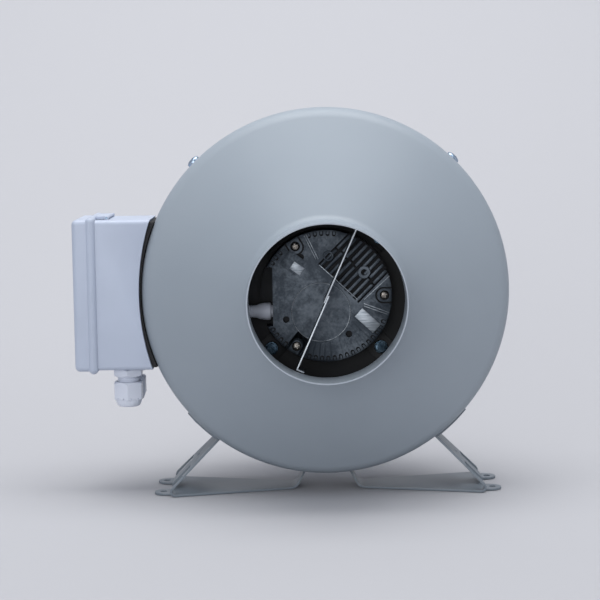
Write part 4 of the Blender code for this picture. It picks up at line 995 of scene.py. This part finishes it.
def make_lid():
    """The lid with its proud band, rounded outer edge, strap hinge and screw wells."""
    lid = box_slab("terminal_lid", -246 * MM, -226 * MM, 1 * MM, 5 * MM, 3 * MM)
    band = box_slab("band", -232.4 * MM, -223 * MM, 3.5 * MM, 5 * MM, 0.4 * MM)
    combine(lid, band, "UNION")
    combine(lid, box_slab("rim", -231 * MM, -217 * MM, GAP, 4 * MM))
    combine(lid, box_slab("room", -243.5 * MM, -230 * MM, -3 * MM, 3 * MM))
    extras = []
    for side in (-1, 1):
        def along(x):
            return near_axis(x * MM, side * LID_SCREW_Y, LID_SCREW_Z, ALONG_X)
        post = bar("post", 6.5 * MM, 12.8 * MM, along(-238))
        for piece in (lid, post):
            drill(piece, 2.6 * MM, 50 * MM, along(-246))
            drill(piece, 4.4 * MM, 7 * MM, along(-246))
        extras.append(post)
    pin = centre("lid_hinge_pin")
    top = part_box("box_lid")[1][2]
    tongue = cube("tongue", (AXIS.x - 224 * MM, -25 * MM, AXIS.z + 73.8 * MM), (pin.x, 25 * MM, top))
    soften(tongue, 0.4 * MM, 2)
    knuckle = bar("knuckle", 1.58 * MM, 49.8 * MM, at((pin.x, 0, top - 1.6 * MM)) @ FACE_OUT, 32)
    for piece in (tongue, knuckle):
        extras.append(drill(piece, 1.1 * MM, 0.09, at(pin) @ FACE_OUT, 24))
    lid = together([lid, *extras])
    lid.name = "terminal_lid"
    finish_piece(smooth(lid), "lid", BOX_PLASTIC, "box_plastic", "box_lid")


def make_seal():
    """Foam wedge between the saddle and the round casing, thin half way up."""
    low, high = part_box("box_seal")
    seal = slab("foam_seal", low, high, 2 * MM)
    drill(seal, CASING + GAP, 0.3, near_axis(0, 0, 0, FACE_OUT), 256)
    combine(seal, saddle_tool(SADDLE - GAP), "INTERSECT")
    window = cube("window", (-200 * MM, -31 * MM, -35 * MM), (-140 * MM, 20 * MM, 35 * MM),
                  near_axis(0, 0, 0))
    combine(seal, window)
    for number in (1, 2):
        drill(seal, SCREW_HOLE, 60 * MM, at(centre(f"box_screw_{number}")) @ ALONG_X, 24)
    finish_piece(smooth(seal), "fan", FOAM, "black_foam", "box_seal")


# ---------------------------------------------------------------- glands

def make_gland(where, side):
    """Threaded body, hex flange and domed clamping nut of one cable gland."""
    place = near_axis(GLAND_X, side * GLAND_Y, 0)
    floor = -BOX_HALF_HEIGHT - GAP
    hex_low = floor - 7.9 * MM
    nut_top = hex_low - 5.2 * MM
    nut_low = nut_top - 17.7 * MM
    dome_low = nut_low - 7.2 * MM
    thread_end = nut_low + 7 * MM
    profile = [(8 * MM, floor + 11.3 * MM), (9.4 * MM, floor + 11.3 * MM), (10 * MM, floor + 10.7 * MM),
               (10 * MM, floor - 1 * MM), (10.8 * MM, floor - 2 * MM), (10.8 * MM, hex_low)]
    ridge = hex_low - 0.4 * MM
    while ridge > thread_end + 2.0 * MM:
        profile += [(10.8 * MM, ridge), (10.1 * MM, ridge - 0.6 * MM), (10.1 * MM, ridge - 0.9 * MM)]
        ridge -= 1.5 * MM
    profile += [(10.2 * MM, thread_end), (8 * MM, thread_end)]
    body = lathe(f"gland_thread_{where}", profile, STILL, 64, closed=True)
    flange = hexagon("flange", 27 * MM, hex_low, floor, 2, 0.5 * MM)
    drill(flange, 10.2 * MM, 60 * MM, at((0, 0, hex_low)))
    body = together([body, flange])
    body.name = f"gland_thread_{where}"
    finish_piece(smooth(settle(body, place)), "fan", GLAND_PLASTIC, "gland_plastic", f"gland_body_{where}")
    nut = hexagon(f"gland_cap_{where}", 27 * MM, nut_low, nut_top, 1, 0.6 * MM)
    dome = lathe("dome", [
        (0.0, nut_low + 2 * MM), (12.9 * MM, nut_low + 2 * MM), (12.9 * MM, nut_low - 1.0 * MM),
        (12.6 * MM, nut_low - 2.6 * MM), (11.8 * MM, nut_low - 4.6 * MM), (10.9 * MM, nut_low - 6.1 * MM),
        (9.6 * MM, dome_low + 0.2 * MM), (8.6 * MM, dome_low), (0.0, dome_low)], STILL, 64)
    combine(nut, dome, "UNION")
    for count in range(12):
        turn = Matrix.Rotation(math.radians(30 * count + 15), 4, "Z")
        groove = bar("groove", 1.0 * MM, 12 * MM, turn @ at(
            (13.4 * MM, 0, nut_low - 4.0 * MM)), 12)
        combine(nut, groove)
    bore = lathe("bore", [
        (0.0, nut_top + 5 * MM), (11.1 * MM, nut_top + 5 * MM), (11.1 * MM, thread_end - GAP),
        (6.2 * MM, thread_end - 5 * MM), (6.2 * MM, dome_low + 1 * MM), (7.2 * MM, dome_low - 0.1 * MM),
        (7.2 * MM, dome_low - 5 * MM), (0.0, dome_low - 5 * MM)], STILL, 64)
    combine(nut, bore)
    finish_piece(smooth(settle(nut, place)), f"{where}_gland_nut", GLAND_PLASTIC, "gland_plastic",
                 f"gland_nut_{where}")


# ---------------------------------------------------------------- motor cable

def make_sleeve():
    """Strain relief on the motor cable, with a flared collar at the housing's pocket."""
    entry = centre("cable_sleeve")
    low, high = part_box("cable_sleeve")
    inner, outer = high[0] - AXIS.x, low[0] - AXIS.x
    bore = 3.6 * MM
    profile = [(5.8 * MM, inner), (5.8 * MM, -52.6 * MM), (7.6 * MM, -52.8 * MM), (8.4 * MM, -53.8 * MM),
               (8.5 * MM, -56 * MM), (8.1 * MM, -60.5 * MM), (7.2 * MM, -64.5 * MM), (6.2 * MM, -67 * MM)]
    for ridge in range(3):
        start = -69.6 * MM - 2 * MM * ridge
        profile += [(6.0 * MM, start), (6.0 * MM, start - 0.6 * MM), (5.6 * MM, start - 0.9 * MM),
                    (5.6 * MM, start - 1.4 * MM)]
    profile += [(5.6 * MM, outer + 0.5 * MM), (5.1 * MM, outer), (bore, outer), (bore, inner)]
    place = at((AXIS.x, entry.y, entry.z)) @ ALONG_X
    sleeve = lathe("strain_relief", profile, place, 64, closed=True)
    finish_piece(sleeve, "fan", GLAND_PLASTIC, "gland_plastic", "cable_sleeve")


def make_grommet():
    entry = centre("cable_grommet")
    low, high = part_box("cable_grommet")
    radius, bore = (high[2] - low[2]) / 2, 3.9 * MM
    inner, outer = high[0] - entry.x, low[0] - entry.x
    profile = [(radius, inner - 0.4 * MM), (radius - 0.5 * MM, inner), (bore, inner), (bore, outer),
               (radius - 0.5 * MM, outer), (radius, outer + 0.4 * MM), (radius, outer + 2.2 * MM),
               (6.4 * MM, outer + 2.2 * MM), (6.4 * MM, inner - 2.0 * MM), (radius, inner - 2.0 * MM)]
    place = at(entry) @ ALONG_X
    finish_piece(lathe("wall_grommet", profile, place, 64, closed=True), "fan", RUBBER, "black_rubber",
                 "cable_grommet")


def make_motor_cable():
    """Sheathed cable from the motor's electronics, through the wall and up to the terminals."""
    wall = -CASING / MM
    sleeve = (-62.0, -15.0)
    route = [(-47.5, *sleeve), (-62, *sleeve), (-76, *sleeve), (-96, -60.5, -14.5), (-118, -53, -13),
             (wall + 40, -40, -11), (wall + 22, -27, -9), (wall + 8, -20, -8), (wall - 3, -20, -8),
             (wall - 11, -20, -8), (wall - 21, -19.5, -14), (wall - 25, -14, -27), (wall - 20, -3, -36),
             (wall - 13, 3, -32.5)]
    clear_selection()
    bpy.ops.curve.primitive_bezier_curve_add(location=AXIS)
    cable = bpy.context.object
    cable.name = "motor_lead"
    curve = cable.data
    points = curve.splines[0].bezier_points
    points.add(len(route) - len(points))
    for point, place in zip(points, route):
        point.co = Vector(place) * MM
        point.handle_left_type = point.handle_right_type = "AUTO"
    curve.bevel_depth = 3.25 * MM
    curve.bevel_resolution = 6
    curve.resolution_u = 10
    curve.use_fill_caps = True
    hold(cable)
    bpy.ops.object.convert(target="MESH")
    finish_piece(smooth(settle(bpy.context.object)), "fan", RUBBER, "black_rubber", "motor_cable")


# ---------------------------------------------------------------- rotor and inlet

def make_bell():
    """External rotor: a drawn steel bell with a rounded rear corner and its hub collar."""
    low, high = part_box("rotor_bell")
    front, back = -low[1], -high[1]
    radius, wall = (high[0] - low[0]) / 2, 2.2 * MM
    corner = 5 * MM
    bend = arc((radius - corner, back + corner), corner, 0, -90, 8)
    outside = [(radius, front), (radius, back + corner)] + bend
    inside = [(9.3 * MM, back), (9.3 * MM, back + 0.8 * MM), (5.3 * MM, back + 0.8 * MM),
              (5.3 * MM, -12 * MM), (9.3 * MM, -12 * MM), (9.3 * MM, back + wall),
              (radius - wall - 2 * MM, back + wall), (radius - wall, back + wall + 3 * MM),
              (radius - wall, front)]
    step = [(34 * MM, back), (33 * MM, back + 1 * MM), (14 * MM, back + 1 * MM), (13 * MM, back)]
    bell = lathe("rotor_cup", outside + step + inside, TO_OUTLET, 128, closed=True)
    finish_piece(smooth(bell), "rotor", BLACK_STEEL, "black_steel", "rotor_bell")


BLADES = 7


def make_impeller():
    """Moulded wheel: back plate with a collar on the bell, seven backward-curved blades and a shroud."""
    sheet = 1.6 * MM
    radius = span("impeller").x / 2
    front, collar = 28 * MM, 53.3 * MM
    back = front - sheet
    wheel = lathe("impeller_plate", [
        (collar - 2 * MM, front + 2 * MM), (collar, front + 2 * MM), (collar + 0.6 * MM, front),
        (radius - 0.6 * MM, front), (radius, front - sheet / 2), (radius - 0.6 * MM, back),
        (collar + 1 * MM, back), (collar, back - 1 * MM), (collar, -6 * MM),
        (collar - 2 * MM, -6 * MM)], TO_OUTLET, 128, closed=True)
    rim, eye = -26 * MM, -42 * MM
    outer = rounded([(68 * MM, eye), (75.2 * MM, -32.2 * MM), (radius, rim + sheet / 2)], (12 * MM,), 6)
    inner = rounded([(69.6 * MM, eye), (76.8 * MM, -33.8 * MM), (radius, rim - sheet / 2)], (12 * MM,), 6)
    shroud = lathe("shroud", outer + inner[::-1], TO_OUTLET, 128, closed=True)
    room = lathe("room", [(0, front - sheet / 2), (radius - 0.5 * MM, front - sheet / 2),
                          (radius - 0.5 * MM, rim), (76 * MM, -33 * MM), (69.4 * MM, eye + 1 * MM),
                          (0, eye + 1 * MM)], TO_OUTLET, 128)
    line = []
    steps = 14
    for step in range(steps + 1):
        share = step / steps
        reach = 66 * MM + (radius + 3 * MM - 66 * MM) * share
        angle = math.radians(-38 * share)
        line.append((reach * math.cos(angle), reach * math.sin(angle)))
    blades = strap("blades", line, [80 * MM] * len(line), 2 * MM)
    settle(blades, near_axis(0, (eye + front) / -2 - 7 * MM, 0, FACE_OUT))
    combine(blades, room, "INTERSECT")
    others = [copied(blades, "blade", around_axis(360 * count / BLADES)) for count in range(1, BLADES)]
    wheel = together([wheel, shroud, blades, *others])
    wheel.name = "impeller_wheel"
    finish_piece(smooth(wheel), "rotor", IMPELLER_PLASTIC, "impeller_plastic", "impeller")


def around_axis(degrees):
    """Turn about the fan's axis."""
    return at(AXIS) @ Matrix.Rotation(math.radians(degrees), 4, "Y") @ at(-AXIS)


def make_inlet_cone():
    outside = SPIGOT - SHEET - GAP
    half = RIM
    end = -44 * MM
    line = rounded([(outside, half - 38 * MM), (outside, half - 58 * MM), (66 * MM, -end)], (30 * MM,), 10)
    lip = [(66 * MM - 0.6 * MM, -end - 0.2 * MM)]
    cone = lathe("inlet_nozzle", line + lip, TO_INLET, 160)
    thicken(cone, SHEET)
    finish_piece(smooth(cone), "fan", BRIGHT_STRIP, "galvanised_sheet", "inlet_cone")


# ---------------------------------------------------------------- finishes of the hidden pieces

def dress_frame_pieces():
    """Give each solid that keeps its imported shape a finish."""
    finishes = {
        BLUE_ZINC: ("box_screw_1", "box_screw_2", "lid_screw_1", "lid_screw_2", "lid_hinge_pin",
                    "rotor_shaft", "bearing_front", "bearing_rear"),
        GLAND_PLASTIC: ("lock_nut_front", "lock_nut_rear"),
        FOAM: ("lid_gasket",),
        RUBBER: ("gland_seal_front", "gland_seal_rear"),
        CAST: ("stator_flange", "bearing_tube"),
        BLACK_STEEL: ("magnet_ring", "stator_core"),
        COPPER: ("winding_front", "winding_rear"),
        BOARD: ("circuit_board",),
        CREAM_PLASTIC: ("terminal_block",),
    }
    for finish, nodes in finishes.items():
        for node in nodes:
            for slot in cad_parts[node].material_slots:
                slot.material = finish


# ---------------------------------------------------------------- feet

LOOP_X = -150.5 * MM
LOOP_RADIUS = 5 * MM
TAB_END = 41                         # degrees below the horizontal
TONGUE_START = -90 * MM
EAR_TIP_X = -172 * MM
EAR_HALF_WIDTH = 12 * MM


def foot_line():
    """The outside of the left foot as (across, up): casing tab, arm, outer bend, base and tongue."""
    base = FLOOR - AXIS.z
    tab = CASING + GAP + FOOT_SHEET
    loop_start = math.radians(135)
    arm_end = Vector((LOOP_X + LOOP_RADIUS * math.cos(loop_start),
                      base + LOOP_RADIUS * (1 + math.sin(loop_start))))
    drop = arm_end.y - arm_end.x
    meet_x = (-drop - math.sqrt(2 * tab ** 2 - drop ** 2)) / 2
    meet = math.degrees(math.atan2(-(meet_x + drop), -meet_x))
    line = []
    for step in range(9):
        angle = math.radians(TAB_END + (meet - TAB_END) * step / 8)
        line.append((-tab * math.cos(angle), -tab * math.sin(angle)))
    line.append((line[-1][0] * 0.35 + arm_end.x * 0.65, line[-1][1] * 0.35 + arm_end.y * 0.65))
    for step in range(13):
        angle = math.radians(135 + 135 * step / 12)
        line.append((LOOP_X + LOOP_RADIUS * math.cos(angle), base + LOOP_RADIUS * (1 + math.sin(angle))))
    line.append((TONGUE_START, base))
    touch = -math.sqrt((CASING + GAP) ** 2 - (21 * MM) ** 2) - 1.1 * MM
    tongue = rounded([(TONGUE_START, base), (-31 * MM, base), (-21 * MM, touch)], (10 * MM,), 10)
    return line + tongue[1:]


def foot_widths(line):
    """Full width at each point: widest at the outer bend, tapering along the base and up the arm."""
    widths = []
    for across, up in line:
        on_arm = up > line[-14][1] + 12 * MM and across < LOOP_X + 60 * MM
        fall = math.hypot(across - LOOP_X, up - (FLOOR - AXIS.z)) if on_arm else max(across - LOOP_X, 0)
        widths.append(2 * max(47.3 * MM - 0.26 * fall, 12 * MM))
    return widths


def make_foot(name, node, turn):
    line = foot_line()
    foot = strap(name, line, foot_widths(line), FOOT_SHEET)
    settle(foot, FACE_OUT)
    base = FLOOR - AXIS.z
    half = EAR_HALF_WIDTH
    for side in (-1, 1):
        y = side * 27 * MM
        notch = cube("notch", (LOOP_X - 10 * MM, y - half - 0.5 * MM, base - 2 * MM),
                     (LOOP_X, y + half + 0.5 * MM, base + 30 * MM))
        window = cube("window", (LOOP_X - 1 * MM, y - half - 0.5 * MM, base + 5 * MM),
                      (LOOP_X + 14 * MM, y + half + 0.5 * MM, base + 27 * MM))
        combine(foot, notch)
        combine(foot, window)
        ear = cube("ear", (EAR_TIP_X + half, y - half, base + 0.05 * MM),
                   (LOOP_X + 1.5 * MM, y + half, base + 1.95 * MM))
        tip = bar("tip", half, 1.9 * MM, at((EAR_TIP_X + half, y, base + 1 * MM)), 64)
        combine(ear, tip, "UNION")
        combine(foot, ear, "UNION")
        drill(foot, 3.5 * MM, 10 * MM, at((-163.2 * MM, y, base)), 48)
    across_arm = at((-128 * MM, 0, base + 32 * MM)) @ Matrix.Rotation(math.radians(-45), 4, "Y")
    drill(foot, 2.2 * MM, 12 * MM, across_arm, 32)
    drill(foot, SCREW_HOLE, 30 * MM, at(round_axis(CASING, 225) - AXIS) @ outward(225), 32)
    soften(foot, 0.35 * MM, 2, 50)
    settle(smooth(foot), near_axis(0, 0, 0, turn))
    finish_piece(foot, "fan", FOOT_SHADED_PAINT, "painted_sheet", node)


make_casing()
make_casing_screws()
make_vanes()
make_housing()
make_housing_screws()
make_carrier()
make_box()
make_lid()
make_seal()
make_gland("front", -1)
make_gland("rear", 1)
make_sleeve()
make_grommet()
make_motor_cable()
make_bell()
make_impeller()
make_inlet_cone()
dress_frame_pieces()
make_foot("left_foot", "left_bracket", STILL)
make_foot("right_foot", "right_bracket", Matrix.Rotation(math.radians(180), 4, "Z"))
